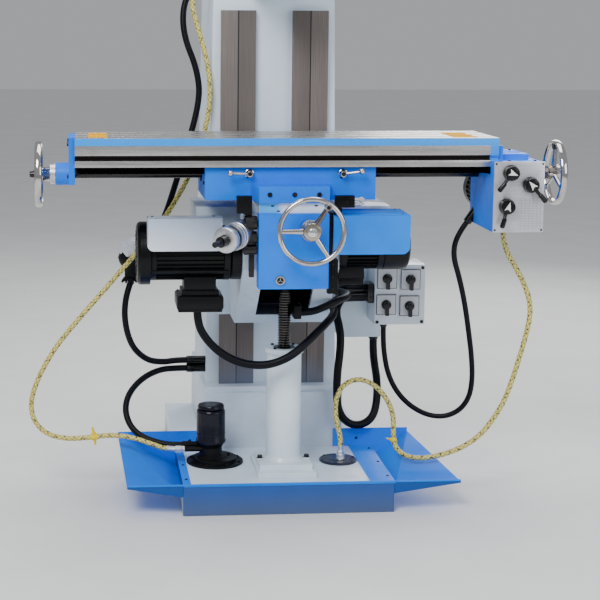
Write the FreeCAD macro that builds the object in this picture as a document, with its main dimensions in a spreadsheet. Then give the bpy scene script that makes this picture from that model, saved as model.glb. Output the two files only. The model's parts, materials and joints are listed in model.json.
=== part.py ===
"""Vertical knee-type milling machine, as separate pieces in one frame.

Frame: origin on the floor under the middle of the elevating screw column side,
+X to the operator's right, +Y away from the operator, +Z up. Millimetres.
Y = 0 is the front face of the column's vertical ways.
"""
import FreeCAD, Part
import math
import os
import re

V = FreeCAD.Vector
doc = FreeCAD.newDocument("milling_machine")

# ---------------------------------------------------------------- spreadsheet
sheet = doc.addObject("Spreadsheet::Sheet", "dims")
CELLS = {}


def cell(alias, value):
    row = len(CELLS) + 1
    sheet.set("A%d" % row, alias)
    sheet.set("B%d" % row, repr(float(value)))
    sheet.setAlias("B%d" % row, alias)
    CELLS[alias] = float(value)
    return alias


DRIVING = dict(
    table_top=1183.0, table_x0=-666.0, table_x1=650.0, table_y0=-455.0, table_y1=-135.0,
    table_under=1093.0, tail_under=1068.0,
    base_x=335.0, base_y0=-492.0, base_y1=560.0, base_top=100.0,
    column_top=1620.0, column_foot_top=306.0, column_low=225.0, column_high=204.0,
    column_y0=25.0, column_y1=525.0, way_in=62.0, way_out=182.0, way_z0=287.0, way_z1=1575.0,
    knee_x=150.0, knee_top=957.0, knee_low=560.0, slide_top=989.95,
    housing_x=108.0, housing_y0=-528.0, housing_low=725.0,
    saddle_x=266.0, saddle_y0=-438.0, saddle_y1=-150.0, saddle_low=990.0, saddle_top=1092.95,
    screw_y=-325.0, screw_rad=21.0, screw_low=165.0,
    lead_y=-300.0, lead_z=1060.0, lead_rad=14.0,
    wheel_rad=98.0, wheel_wire=7.0,
    cross_x=44.0, cross_z=912.0, cross_rad=12.0,
    pedestal_rad=56.0, pedestal_top=502.0,
    ml_y=-370.0, ml_z=817.0, ml_rad=88.0,
    mr_y=-415.0, mr_z=845.0, mr_rad=78.0,
    pump_x=-227.0, pump_y=-232.0, pump_rad=47.5, pump_disc=93.0,
    drain_x=193.5, drain_y=-249.0, drain_rad=62.0,
    cab_x0=238.0, cab_x1=382.0, cab_y0=26.0, cab_y1=300.0, cab_z0=458.0, cab_z1=800.0,
    box_x0=333.0, box_x1=503.0, box_y0=-115.0, box_y1=20.0, box_z0=529.0, box_z1=732.0,
    gear_x0=624.0, gear_x1=783.0, gear_y0=-497.0, gear_y1=-215.0, gear_z0=893.0, gear_z1=1111.0,
    spindle_y=-310.0, quill_rad=43.0, nose_z=1625.0,
    run_gap=0.05,
)
for k, v in DRIVING.items():
    cell(k, v)
doc.recompute()
G = DRIVING

FUNCS = {"sqrt", "sin", "cos", "tan", "abs", "min", "max"}
COUNT = [0]


def ex(value, name):
    """An expression for a size: words are the sheet's aliases; a plain number gets a cell of its own."""
    if isinstance(value, str):
        return re.sub(r"[a-z][a-z0-9_]*", lambda m: m.group(0) if m.group(0) in FUNCS else "dims." + m.group(0), value)
    COUNT[0] += 1
    alias = "%s_%d" % (name, COUNT[0])
    cell(alias, value)
    return "dims." + alias


def place(o, x, y, z, name, rot=None):
    o.Placement = FreeCAD.Placement(V(0, 0, 0), rot or FreeCAD.Rotation())
    for axis, v in zip("xyz", (x, y, z)):
        o.setExpression("Placement.Base." + axis, ex(v, name))


def minus(a, b):
    if isinstance(a, str) or isinstance(b, str):
        return "(%s) - (%s)" % (a, b)
    return a - b


def bx(name, x0, x1, y0, y1, z0, z1):
    o = doc.addObject("Part::Box", name)
    o.setExpression("Length", ex(minus(x1, x0), name))
    o.setExpression("Width", ex(minus(y1, y0), name))
    o.setExpression("Height", ex(minus(z1, z0), name))
    place(o, x0, y0, z0, name)
    return o


ROT = {"x": FreeCAD.Rotation(V(0, 1, 0), 90), "y": FreeCAD.Rotation(V(1, 0, 0), -90), "z": FreeCAD.Rotation()}


def cy(name, axis, rad, a0, a1, c1, c2):
    """Cylinder along axis from a0 to a1; c1, c2 are the other two coordinates in x, y, z order."""
    o = doc.addObject("Part::Cylinder", name)
    o.setExpression("Radius", ex(rad, name))
    o.setExpression("Height", ex(minus(a1, a0), name))
    p = {"x": (a0, c1, c2), "y": (c1, a0, c2), "z": (c1, c2, a0)}[axis]
    place(o, *p, name, ROT[axis])
    return o


def cone(name, axis, rad0, rad1, a0, a1, c1, c2):
    o = doc.addObject("Part::Cone", name)
    o.setExpression("Radius1", ex(rad0, name))
    o.setExpression("Radius2", ex(rad1, name))
    o.setExpression("Height", ex(minus(a1, a0), name))
    p = {"x": (a0, c1, c2), "y": (c1, a0, c2), "z": (c1, c2, a0)}[axis]
    place(o, *p, name, ROT[axis])
    return o


def rod(name, rad, p0, p1, rad2=None):
    """Cylinder, or cone, between two points."""
    d = V(*p1) - V(*p0)
    o = doc.addObject("Part::Cylinder" if rad2 is None else "Part::Cone", name)
    if rad2 is None:
        o.setExpression("Radius", ex(rad, name))
    else:
        o.setExpression("Radius1", ex(rad, name))
        o.setExpression("Radius2", ex(rad2, name))
    o.setExpression("Height", ex(d.Length, name))
    place(o, *p0, name, FreeCAD.Rotation(V(0, 0, 1), d))
    return o


def ball(name, rad, x, y, z):
    o = doc.addObject("Part::Sphere", name)
    o.setExpression("Radius", ex(rad, name))
    place(o, x, y, z, name)
    return o


def ring(name, axis, big, wire, x, y, z):
    o = doc.addObject("Part::Torus", name)
    o.setExpression("Radius1", ex(big, name))
    o.setExpression("Radius2", ex(wire, name))
    place(o, x, y, z, name, ROT[axis])
    return o


def pad(name, axis, pts, a0, a1):
    """A body with one sketch, padded along axis from a0 to a1. pts are the other two coordinates in x, y, z order."""
    body = doc.addObject("PartDesign::Body", name + "_body")
    sk = body.newObject("Sketcher::SketchObject", name + "_sketch")
    role = {"z": "XY_Plane", "y": "XZ_Plane", "x": "YZ_Plane"}[axis]
    plane = [f for f in body.Origin.OriginFeatures if f.Role == role][0]
    sk.AttachmentSupport = [(plane, "")]
    sk.MapMode = "FlatFace"
    n = len(pts)
    for i in range(n):
        a, b = pts[i], pts[(i + 1) % n]
        sk.addGeometry(Part.LineSegment(V(a[0], a[1], 0), V(b[0], b[1], 0)), False)
    import Sketcher
    for i in range(n):
        sk.addConstraint(Sketcher.Constraint("Coincident", i, 2, (i + 1) % n, 1))
    for i in range(n):
        sk.addConstraint(Sketcher.Constraint("Block", i))
    p = body.newObject("PartDesign::Pad", name + "_pad")
    p.Profile = sk
    p.setExpression("Length", ex(minus(a1, a0), name))
    if axis == "y":
        p.Reversed = True
    body.Tip = p
    off = {"z": (0, 0, a0), "y": (0, a0, 0), "x": (a0, 0, 0)}[axis]
    place(body, *off, name)
    return body


def cut(name, a, tools):
    tool = tools[0] if len(tools) == 1 else fuse(name + "_tools", tools)
    o = doc.addObject("Part::Cut", name)
    o.Base, o.Tool = a, tool
    return o


def fuse(name, shapes):
    o = doc.addObject("Part::MultiFuse", name)
    o.Shapes = shapes
    return o


def group(name, shapes):
    """Several separate solids in one node."""
    o = doc.addObject("Part::Compound", name)
    o.Links = shapes
    return o


NODES = []


def node(label, obj):
    obj.Label = label
    NODES.append((label, obj))
    return obj


# ======================================================================= base
# Cast plinth, open underneath, with a hole for the foot of the elevating screw.
plinth = bx("plinth", "-base_x", "base_x", "base_y0", "base_y1", 0, "base_top")
node("base_casting", cut("base_cut", plinth, [
    bx("plinth_hollow_l", "-base_x + 40", -25, "base_y0 + 40", "base_y1 - 40", -1, 68),
    bx("plinth_hollow_r", 25, "base_x - 40", "base_y0 + 40", "base_y1 - 40", -1, 68),
    cy("plinth_screw_hole", "z", 26, 60, 120, 0, "screw_y")]))

# Column: tapered box on a wide foot, open at its bottom, with two dovetail ways in front.
shell = doc.addObject("Part::Wedge", "column_shell")
for prop, e in dict(Xmin="-column_low", Xmax="column_low", X2min="-column_high", X2max="column_high",
                    Ymin="column_foot_top - 1", Ymax="column_top", Zmin="-column_y1", Zmax="-column_y0",
                    Z2min="-column_y1", Z2max="-column_y0").items():
    shell.setExpression(prop, ex(e, "column_shell"))
place(shell, 0, 0, 0, "column_shell", FreeCAD.Rotation(V(1, 0, 0), 90))
foot = bx("column_foot", -235, 235, -70, 545, "base_top", "column_foot_top")


def way(side):
    s = side
    return pad("way_left" if s < 0 else "way_right", "z",
               [(s * G["way_in"], 0), (s * G["way_out"], 0), (s * (G["way_out"] - 18), 26), (s * G["way_in"], 26)],
               "way_z0", "way_z1")


col = fuse("column_fused", [shell, foot, way(-1), way(1),
                            bx("turret_seat", -170, 170, 30, 500, "column_top - 1", 1642),
                            bx("turret_cheek_l", -120, -90.1, 30, 380, 1641, 1726), bx("turret_cheek_r", 90.1, 120, 30, 380, 1641, 1726)])
node("column_casting", cut("column_cut", col, [
    bx("column_hollow", -175, 175, 70, 480, 90, 1580),
    bx("column_foot_step", -300, 300, -90, -45, 290, 320)]))

# Drip trays: thin sloping pans at each side of the base, with a raised wall at the back.


def slab(name, pts, thick):
    """A plate from four corners of its upper face, thick downwards, as a loft of nothing but planes."""
    up = [V(*p) for p in pts]
    dn = [p - V(0, 0, thick) for p in up]
    faces = []

    def quad(a, b, c, d):
        if abs((b - a).cross(c - a).dot(d - a)) < 1e-6:
            faces.append(Part.Face(Part.makePolygon([a, b, c, d, a])))
        else:
            faces.append(Part.Face(Part.makePolygon([a, b, c, a])))
            faces.append(Part.Face(Part.makePolygon([a, c, d, a])))
    quad(*up)
    quad(*dn)
    for i in range(4):
        j = (i + 1) % 4
        quad(up[i], up[j], dn[j], dn[i])
    sh = Part.makeShell(faces)
    so = Part.makeSolid(sh)
    if so.Volume < 0:
        so.reverse()
    return so


def tray(label, s, lip_in, out_front, out_back, back_from, back_to):
    xin = s * G["base_x"]
    y0, y1, t = G["base_y0"], -75.0, 3.0
    zt = G["base_top"] + t
    # flange on the plinth, floor that rises outwards, front wall and back wall
    parts = [
        slab(label, [(lip_in, y0, zt), (xin, y0, zt), (xin, y1, zt), (lip_in, y1, zt)], t),
        slab(label, [(xin + s * 0.2, y0, 66), (out_front, y0, 96), (out_back, y1, 150), (xin + s * 0.2, y1, 66)], t),
        slab(label, [(xin + s * 0.2, y0 - 3, zt), (out_front, y0 - 3, zt), (out_front, y0, zt), (xin + s * 0.2, y0, zt)], 6),
    ]
    wall = Part.makePolygon([V(xin + s * 0.2, y0 - 3, zt - 5), V(out_front, y0 - 3, zt - 5), V(out_front, y0 - 3, 92),
                             V(xin + s * 0.2, y0 - 3, 62), V(xin + s * 0.2, y0 - 3, zt - 5)])
    parts.append(Part.Face(wall).extrude(V(0, 3.2, 0)))
    wall = Part.makePolygon([V(xin + s * 0.2, y1 - 0.2, 62), V(out_back, y1 - 0.2, 146), V(out_back, y1 - 0.2, 162),
                             V(xin + s * 0.2, y1 - 0.2, 162), V(xin + s * 0.2, y1 - 0.2, 62)])
    parts.append(Part.Face(wall).extrude(V(0, 3.2, 0)))
    wall = Part.makePolygon([V(back_from, y1, zt - 3), V(back_to, y1, zt - 3), V(back_to, y1, 162), V(back_from, y1, 162), V(back_from, y1, zt - 3)])
    parts.append(Part.Face(wall).extrude(V(0, 3.0, 0)))
    sol = parts[0].multiFuse(parts[1:]).removeSplitter()
    o = doc.addObject("Part::Feature", label)
    o.Shape = sol
    return node(label, o)


tray("drip_tray_left", -1, -310.0, -510.0, -528.0, -337.0, -262.0)
tray("drip_tray_right", 1, 258.0, 547.0, 461.0, 205.0, 337.0)

# Pedestal of the elevating screw: tube with flange, collar, foot and pad; the bronze nut sits in its top.
ped = fuse("pedestal_fused", [
    bx("pedestal_pad", -94, 94, -440, -215, "base_top", 118),
    bx("pedestal_foot", -85, 85, -410, -240, 118, 136),
    cy("pedestal_tube", "z", "pedestal_rad", 130, "pedestal_top - 14", 0, "screw_y"),
    cy("pedestal_flange", "z", "pedestal_rad + 6", "pedestal_top - 16", "pedestal_top", 0, "screw_y"),
    cone("pedestal_skirt", "z", 66, "pedestal_rad", 134, 150, 0, "screw_y")])
node("lift_pedestal", cut("pedestal_cut", ped, [
    cy("pedestal_bore", "z", 40, 122, 440, 0, "screw_y"),
    cy("pedestal_floor_hole", "z", 26, 90, 130, 0, "screw_y"),
    cy("pedestal_nut_seat", "z", 34, 430, "pedestal_top + 1", 0, "screw_y")]))
node("lift_nut", cut("lift_nut_cut", cy("lift_nut_body", "z", 34, 440, "pedestal_top + 2", 0, "screw_y"),
                     [cy("lift_nut_bore", "z", "screw_rad + run_gap", 430, 520, 0, "screw_y")]))
bolts = []
for i, (px, py) in enumerate([(-76, -330), (76, -330)]):
    bolts.append(cy("bolt_head_%d" % i, "z", 8, 136, 148, px, py))
node("pedestal_bolts", group("pedestal_bolt_group", bolts))

# Coolant pump on its round flange, and the drain strainer with its hose fitting.
node("pump_flange", fuse("pump_flange_fused", [
    cy("pump_disc", "z", "pump_disc", "base_top", 108, "pump_x + 13", "pump_y - 3"),
    cy("pump_plate", "z", 75, 107, 119, "pump_x", "pump_y"),
    cy("pump_neck", "z", 36, 118, 166, "pump_x", "pump_y"),
    cy("pump_outlet", "x", 9, -290, -250, -245, 147), cy("pump_outlet_nut", "x", 12.5, -306, -288, -245, 147),
    cy("pump_outlet_tail", "x", 9, -334, -305, -245, 147),
    cy("pump_cable_gland", "x", 12.5, -322, -255, -215, 153)]))
node("pump_motor", fuse("pump_motor_fused", [
    cy("pump_body", "z", "pump_rad", 166, 280, "pump_x", "pump_y"),
    cy("pump_cap", "z", 41, 279, 296, "pump_x", "pump_y"),
    bx("pump_terminal", -290, -262, -236, -196, 166, 232)]))
node("drain_strainer", fuse("drain_fused", [
    cy("drain_disc", "z", "drain_rad", "base_top", 108, "drain_x", "drain_y"),
    cy("drain_boss", "z", 14, 107, 124, 201.6, "drain_y"), cy("drain_nut", "z", 11, 123, 138, 201.6, "drain_y"),
    cy("drain_tail", "z", 8, 137, 150, 201.6, "drain_y")]))

# Electrical cabinet on the column's right side, its hinged door facing right, and the switch box in front of it.
# the spacer's inner face follows the column's taper


def taper(z):
    return G["column_low"] + (G["column_high"] - G["column_low"]) * (z - 305.0) / (G["column_top"] - 305.0)


sp = pad("cabinet_stay", "y", [(taper(520) + 0.0, 520), (G["cab_x0"], 520), (G["cab_x0"], 740), (taper(740), 740)], 90, 230)
cab2 = cut("cabinet_body", bx("cabinet_box2", "cab_x0", "cab_x1 - 3", "cab_y0", "cab_y1", "cab_z0", "cab_z1"),
           [bx("cabinet_hollow2", "cab_x0 + 3", "cab_x1 + 5", "cab_y0 + 3", "cab_y1 - 3", "cab_z0 + 3", "cab_z1 - 3")])
node("electrical_cabinet", fuse("cabinet_fused", [
    cab2, sp,
    bx("cabinet_back_plate", "cab_x0 + 3", "cab_x0 + 8", "cab_y0 + 20", "cab_y1 - 20", "cab_z0 + 20", "cab_z1 - 20"),
    bx("contactor_1", "cab_x0 + 8", 300, 60, 110, 680, 760), bx("contactor_2", "cab_x0 + 8", 300, 125, 175, 680, 760),
    bx("transformer", "cab_x0 + 8", 320, 190, 270, 500, 590), bx("terminal_strip", "cab_x0 + 8", 260, 60, 250, 620, 650)]))
node("cabinet_door", fuse("door_fused", [
    bx("door_panel", "cab_x1 - 2.7", "cab_x1 + 0.3", "cab_y0 + 1", "cab_y1 - 1", "cab_z0 + 1", "cab_z1 - 1"),
    cy("door_knuckle_low", "z", 2.9, "cab_z0 + 20", "cab_z0 + 60", "cab_x1 + 0.3", "cab_y1 - 1"),
    cy("door_knuckle_high", "z", 2.9, "cab_z1 - 60", "cab_z1 - 20", "cab_x1 + 0.3", "cab_y1 - 1"),
    bx("door_latch", "cab_x1 + 0.2", "cab_x1 + 9", 36, 58, 612, 652)]))
sw = cut("switch_box_shell", bx("switch_outer", "box_x0", "box_x1", "box_y0 + 3", "box_y1", "box_z0", "box_z1"),
         [bx("switch_hollow", "box_x0 + 3", "box_x1 - 3", "box_y0 - 1", "box_y1 - 3", "box_z0 + 3", "box_z1 - 3")])
SWITCH = [(373.0, 687.0), (452.5, 683.0), (371.0, 598.0), (450.0, 593.5)]
face = bx("switch_face", "box_x0", "box_x1", "box_y0", "box_y0 + 3", "box_z0", "box_z1")
plates = [bx("switch_plate_%d" % i, x - 33, x + 33, "box_y0 - 3", "box_y0 + 0.1", z - 34, z + 34) for i, (x, z) in enumerate(SWITCH)]
holes = [cy("switch_hole_%d" % i, "y", 5 + G["run_gap"], "box_y0 - 9", "box_y0 + 9", x, z) for i, (x, z) in enumerate(SWITCH)]
node("switch_box", cut("switch_box_cut", fuse("switch_box_fused", [sw, face] + plates + [
    bx("switch_stay", 345, 382, "box_y1 - 0.1", "cab_y0", 560, 700)]), holes))
for i, (x, z) in enumerate(SWITCH):
    node("switch_knob_%d" % (i + 1), fuse("switch_knob_fused_%d" % i, [
        cy("switch_shaft_%d" % i, "y", 5, "box_y0 - 6", "box_y0 + 6", x, z),
        cy("switch_disc_%d" % i, "y", 17, "box_y0 - 16", "box_y0 - 3.3", x, z),
        cy("switch_grip_%d" % i, "y", 12, "box_y0 - 30", "box_y0 - 15", x, z),
        bx("switch_pointer_%d" % i, x - 7.5, x + 7.5, "box_y0 - 28", "box_y0 - 6", z - 36, z)]))

# Conduit glands fixed to the column, the switch box and the ram.
gl = [
    cy("gland_a", "x", 14, -288, -222, 45, 381), cy("gland_b", "x", 14, -288, -222, 45, 353),
    cy("gland_c", "x", 16, 311, "box_x0", -88, 618), cy("gland_d", "x", 15, 311, "box_x0", -50, 648),
    cy("gland_e", "x", 18, 308, "box_x0", -5, 618), cy("gland_f", "z", 12, 511, "box_z0", 375, -60),
    cy("gland_g", "z", 17.5, 446, "cab_z0", 362, 50), cy("gland_h", "x", 14, -142, -120, 110, 1690), cy("gland_i", "x", 12, -142, -120, 60, 1700)]
ga = [cut("gland_trim_%d" % i, gl[i], [cab_tool]) for i, cab_tool in ((0, bx("gland_trim_tool0", "-column_low + 0.95", 0, -100, 200, 300, 500)), (1, bx("gland_trim_tool1", "-column_low + 0.5", 0, -100, 200, 300, 500)))]
node("conduit_glands", group("gland_group", ga + gl[2:]))

# ==================================================== ram, head and spindle
node("ram", fuse("ram_fused", [
    bx("ram_beam", -90, 90, -199.7, 420, 1642.1, 1760), cy("ram_flange", "y", 80, -199.7, -180, 0, 1722.2)]))
head = fuse("head_fused", [
    bx("head_box", -95, 95, -405, -200, 1690, 1960), cy("head_snout", "z", 62, 1652, 1700, 0, "spindle_y"),
    cy("head_top", "z", 100, 1950, 1985, 0, "spindle_y"), cy("head_pivot", "y", 85, -215, -200, 0, 1720)])
node("head_casting", cut("head_cut", head, [
    cy("head_bore", "z", "quill_rad + run_gap", 1600, 1975, 0, "spindle_y"),
    bx("head_flat", -300, 300, -200, 0, 1500, 2000),
    cy("head_shaft_bore", "x", 11 + G["run_gap"], 60, 200, -345, 1790)]))
node("quill", cut("quill_cut", cy("quill_tube", "z", "quill_rad", "nose_z + 26", 1905, 0, "spindle_y"),
                  [cy("quill_bore", "z", "20 + run_gap", 1600, 1950, 0, "spindle_y")]))
sp1 = fuse("spindle_fused", [cy("spindle_shaft", "z", 20, "nose_z + 1", 1935, 0, "spindle_y"),
                             cy("spindle_nose", "z", 34, "nose_z", "nose_z + 25.7", 0, "spindle_y")])
node("spindle", cut("spindle_cut", sp1, [cy("spindle_bore", "z", 12.05, "nose_z - 1", "nose_z + 60", 0, "spindle_y")]))
node("head_motor", fuse("head_motor_fused", [
    cy("head_motor_body", "z", 95, 1985, 2190, 0, "spindle_y"), cy("head_motor_cap", "z", 88, 2189, 2230, 0, "spindle_y"),
    bx("head_motor_terminal", 80, 128, -360, -260, 2060, 2130)]))
node("quill_lever", fuse("quill_lever_fused", [
    cy("quill_pinion", "x", 11, 70, 96, -345, 1790), cy("quill_hub", "x", 26, 95.3, 125, -345, 1790),
    rod("quill_arm", 7, (112, -345, 1790), (118, -470, 1700)), ball("quill_ball", 16, 118, -475, 1696)]))

# ======================================================================= knee
side = pad("knee_side", "x", [(-470, G["knee_top"]), (-470, 777), (-213, 560), (-G["run_gap"], 560), (-G["run_gap"], G["knee_top"])], "-knee_x", "knee_x")
saddle_rail = fuse("knee_slide", [bx("knee_slide_wide", -150, 150, -470, -40, "knee_top - 1", "slide_top"),
                                 bx("knee_slide_nose", -105, 105, -515, -469, "knee_top - 1", "slide_top")])
back = bx("knee_back", -195, 195, -60, 22, "knee_low", "knee_top")
wings = bx("knee_wings", -285, 335, -330, -59, 900, "knee_top")
g = G["run_gap"]
wo = G["way_out"]
slot = pad("knee_slot", "z", [(-wo - 4 * g, -2 * g), (wo + 4 * g, -2 * g), (wo + 4 * g - 18.2, 26.5), (-wo - 4 * g + 18.2, 26.5)], "knee_low - 10", "knee_top + 40")
knee = cut("knee_cut", fuse("knee_fused", [side, saddle_rail, back, wings]), [
    bx("knee_cavity", -85, 85, -600, -60, 594, 840),
    bx("knee_front_clear", -300, 300, -600, -470, 500, "knee_top"),
    slot,
    cy("knee_tunnel", "y", "cross_rad + run_gap", -600, -75, "cross_x", "cross_z"),
    bx("knee_nut_slot", 12, 76, -425, -95, 886, 1000),
    cy("knee_screw_bore", "z", 13 + g, 830, 880.3, 0, "screw_y")])
node("knee_casting", knee)
# front end of the slide above the housing is carried by the housing's top
house = cut("housing_cut", bx("housing_box", "-housing_x", "housing_x", "housing_y0", -470, "housing_low", "knee_top"), [
    cy("housing_bore", "y", "cross_rad + run_gap", -600, -400, "cross_x", "cross_z"),
    bx("housing_hollow", -96, 96, -516, -460, 720, 880),
    cy("housing_sight_hole", "y", 9, -560, -500, -42, 753)])
boss = cut("boss_cut", cy("boss", "y", 34, -545, -527, "cross_x", "cross_z"), [cy("boss_bore", "y", "cross_rad + run_gap", -600, -500, "cross_x", "cross_z")])
node("knee_housing", fuse("housing_fused", [house, boss]))
node("sight_glass", fuse("sight_fused", [cy("sight_ring", "y", 14, -534, -528, -42, 753), cy("sight_barrel", "y", 9, -529, -512, -42, 753)]))

# Elevating screw: threaded length, plain shaft and bevel gear, turning in the knee.
node("elevating_screw", fuse("lift_screw_fused", [
    cy("lift_thread", "z", "screw_rad", "screw_low", 604, 0, "screw_y"), cy("lift_shaft", "z", 13, 603, 880, 0, "screw_y"),
    cone("lift_gear", "z", 44, 24, 806, 832, 0, "screw_y")]))

# Lift crank: angled shaft in a round housing on the knee's left side.
H0 = V(-171, -500, 890)
U = V(-0.543, -0.836, -0.085)
U.normalize()


def along(t, side_=0.0):
    p = H0 + U * t
    return (round(p.x, 4), round(p.y, 4), round(p.z, 4))


node("crank_housing", cut("crank_housing_cut", fuse("crank_housing_fused", [
    rod("crank_barrel", 43, along(-28), along(30)), bx("crank_bracket", -150, -108, -526, -478, 866, 950),
    cy("crank_clutch", "x", 22, -150, -112, -502, 928), cy("crank_link", "x", 16, -152, -112, -502, 845), bx("crank_link_arm", -136, -120, -512, -490, 760, 850)]), [
    rod("crank_bore", 11 + g, along(-40), along(60))]))
node("crank_shaft", fuse("crank_shaft_fused", [
    rod("crank_core", 11, along(-20), along(96)), rod("crank_collar", 41, along(30.3), along(44)), rod("crank_groove", 36, along(43), along(60)),
    rod("crank_dial", 40, along(59), along(84)), rod("crank_boss", 17, along(83), along(112)), rod("crank_square", 12, along(111), along(124)),
    rod("crank_clutch_end", 9, along(123), along(150))]))


# Knee motors with their sheet covers.
def fins(tag, x0, x1, n, rad, y, z):
    return [cy("%s_fin_%d" % (tag, i), "x", rad, x0 + (x1 - x0) * i / (n - 1.0) - 2, x0 + (x1 - x0) * i / (n - 1.0) + 2, y, z) for i in range(n)]


node("lift_motor", fuse("lift_motor_fused", [
    cy("lm_fan", "x", 100, -476, -442, "ml_y", "ml_z"), cy("lm_body", "x", "ml_rad - 8", -443, -181, "ml_y", "ml_z"),
    cy("lm_flange", "x", 85, -181, "-knee_x", "ml_y", "ml_z"),
    bx("lm_neck", -330, -229, -425, -330, 702, 780), bx("lm_lid", -353, -207, -450, -315, 646, 703)]
    + fins("lm", -425, -200, 9, G["ml_rad"], "ml_y", "ml_z")))
node("lift_motor_cover", cut("lmc_cut", fuse("lmc_fused", [
    bx("lmc_plate", -446, -216, -482, -478, 838, 942), bx("lmc_top", -446, -216, -479, -440, 938, 942),
    bx("lmc_leg_a", -300, -280, -462, -428, 860, 939), bx("lmc_leg_b", -420, -400, -462, -428, 860, 939)]),
    [cy("lmc_saddle", "x", G["ml_rad"], -460, -200, "ml_y", "ml_z")]))
node("cross_motor", fuse("cross_motor_fused", [
    cy("cm_body", "x", "mr_rad - 6", "knee_x", 300, "mr_y", "mr_z"), cy("cm_cap", "x", "mr_rad", 291, 372, "mr_y", "mr_z"),
    bx("cm_box", "knee_x", 234, -445, -385, 723, 790)] + fins("cm", 175, 275, 5, G["mr_rad"] - 2, "mr_y", "mr_z")))
node("cross_motor_cover", fuse("cmc_fused", [
    bx("cmc_front", 125, 365, -505, -501, 827, 948), bx("cmc_top", "knee_x", 365, -503, -338, 944, 948),
    bx("cmc_top_nose", 125, 151, -503, -472, 944, 948)]))
node("limit_switches", group("limit_group", [
    fuse("limit_left", [bx("limit_left_block", -175, -128, -515, -490, 957, 1011), bx("limit_left_lug", -150, -128, -515, -470, 952, 958)]),
    fuse("limit_right", [bx("limit_right_block", 128, 188, -515, -490, 974, 1011), bx("limit_right_lug", 128, 150, -515, -470, 950, 975),
                         cy("limit_rod_a", "x", 4, 187, 219, -502, 999), cy("limit_rod_b", "x", 4, 187, 219, -502, 984)]),
    bx("side_block", 110, 142, -500, -470, 704, 812),
    fuse("knee_block", [bx("knee_block_body", 26, 50, -358, -345 + 140, 598, 640), bx("knee_block_foot", 26, 50, -250, -205, 594, 600)])]))

# Cross-feed screw with its three-spoke handwheel.
cw = []
HX, HZ, HY = G["cross_x"], G["cross_z"], -600.0
for i, a in enumerate((180, 57, -57)):
    c, s = math.cos(math.radians(a)), math.sin(math.radians(a))
    cw.append(rod("cross_spoke_%d" % i, 9, (HX + 20 * c, HY + 6, HZ + 20 * s), (HX + 97 * c, HY, HZ + 97 * s), 6.5))
a = math.radians(57)
cw.append(rod("cross_handle_boss", 10, (HX + 88 * math.cos(a), HY + 10, HZ + 88 * math.sin(a)), (HX + 88 * math.cos(a), HY - 9, HZ + 88 * math.sin(a))))
node("cross_handwheel", fuse("cross_wheel_fused", [
    ring("cross_rim", "y", "wheel_rad", "wheel_wire", "cross_x", -600, "cross_z"), cy("cross_hub", "y", 29, -612, -588, "cross_x", "cross_z"),
    cy("cross_dial", "y", 32, -588.5, -545.3, "cross_x", "cross_z"), cy("cross_screw_rod", "y", "cross_rad", -590, -80, "cross_x", "cross_z"),
    cy("cross_cap", "y", 10, -622, -611, "cross_x", "cross_z")] + cw))

# ===================================================================== saddle
tail = pad("saddle_tail_slot", "x", [(-385 - 2 * g, 1094), (-205 + 2 * g, 1094), (-190 + 0.29 + 2 * g, 1067.5), (-400 - 0.29 - 2 * g, 1067.5)], -300, 300)
node("saddle_casting", cut("saddle_cut", bx("saddle_box", "-saddle_x", "saddle_x", "saddle_y0", "saddle_y1", "saddle_low", "saddle_top"), [
    tail, cy("saddle_tunnel_l", "x", 18, -300, -30, "lead_y", "lead_z"), cy("saddle_tunnel_r", "x", 18, 30, 300, "lead_y", "lead_z"),
    cy("saddle_nut_bore", "x", "lead_rad + run_gap", -40, 40, "lead_y", "lead_z")]))
br = pad("bracket_plan", "z", [(-108, -528), (108, -528), (125, -438), (-125, -438)], "saddle_low", 1038)
node("saddle_bracket", fuse("bracket_fused", [br] + [cy("bracket_screw_%d" % i, "y", 7, -530, -520, x, 1016.5) for i, x in enumerate((-76, 0, 76))]))
node("cross_nut", cut("cross_nut_cut", bx("cross_nut_block", 16, 72, -310, -250, 889, "saddle_low"),
                      [cy("cross_nut_bore", "y", "cross_rad + run_gap", -400, -200, "cross_x", "cross_z")]))
node("table_lock_left", fuse("lock_left_fused", [
    cy("lock_left_hub", "y", 13, -464, -438.3, -130, 1073), rod("lock_left_arm", 4.5, (-133, -456.7, 1073.1), (-188, -469.3, 1075.9)), rod("lock_left_knob", 8.5, (-184, -468.4, 1075.7), (-199, -471.8, 1076.5))]))
node("table_lock_right", fuse("lock_right_fused", [
    cy("lock_right_hub", "y", 13, -464, -438.3, 161, 1072), rod("lock_right_arm", 4.5, (164, -456.7, 1072.5), (214, -469.3, 1080.5)), rod("lock_right_knob", 8.5, (210, -468.3, 1079.9), (225, -472.1, 1082.3))]))

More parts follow.
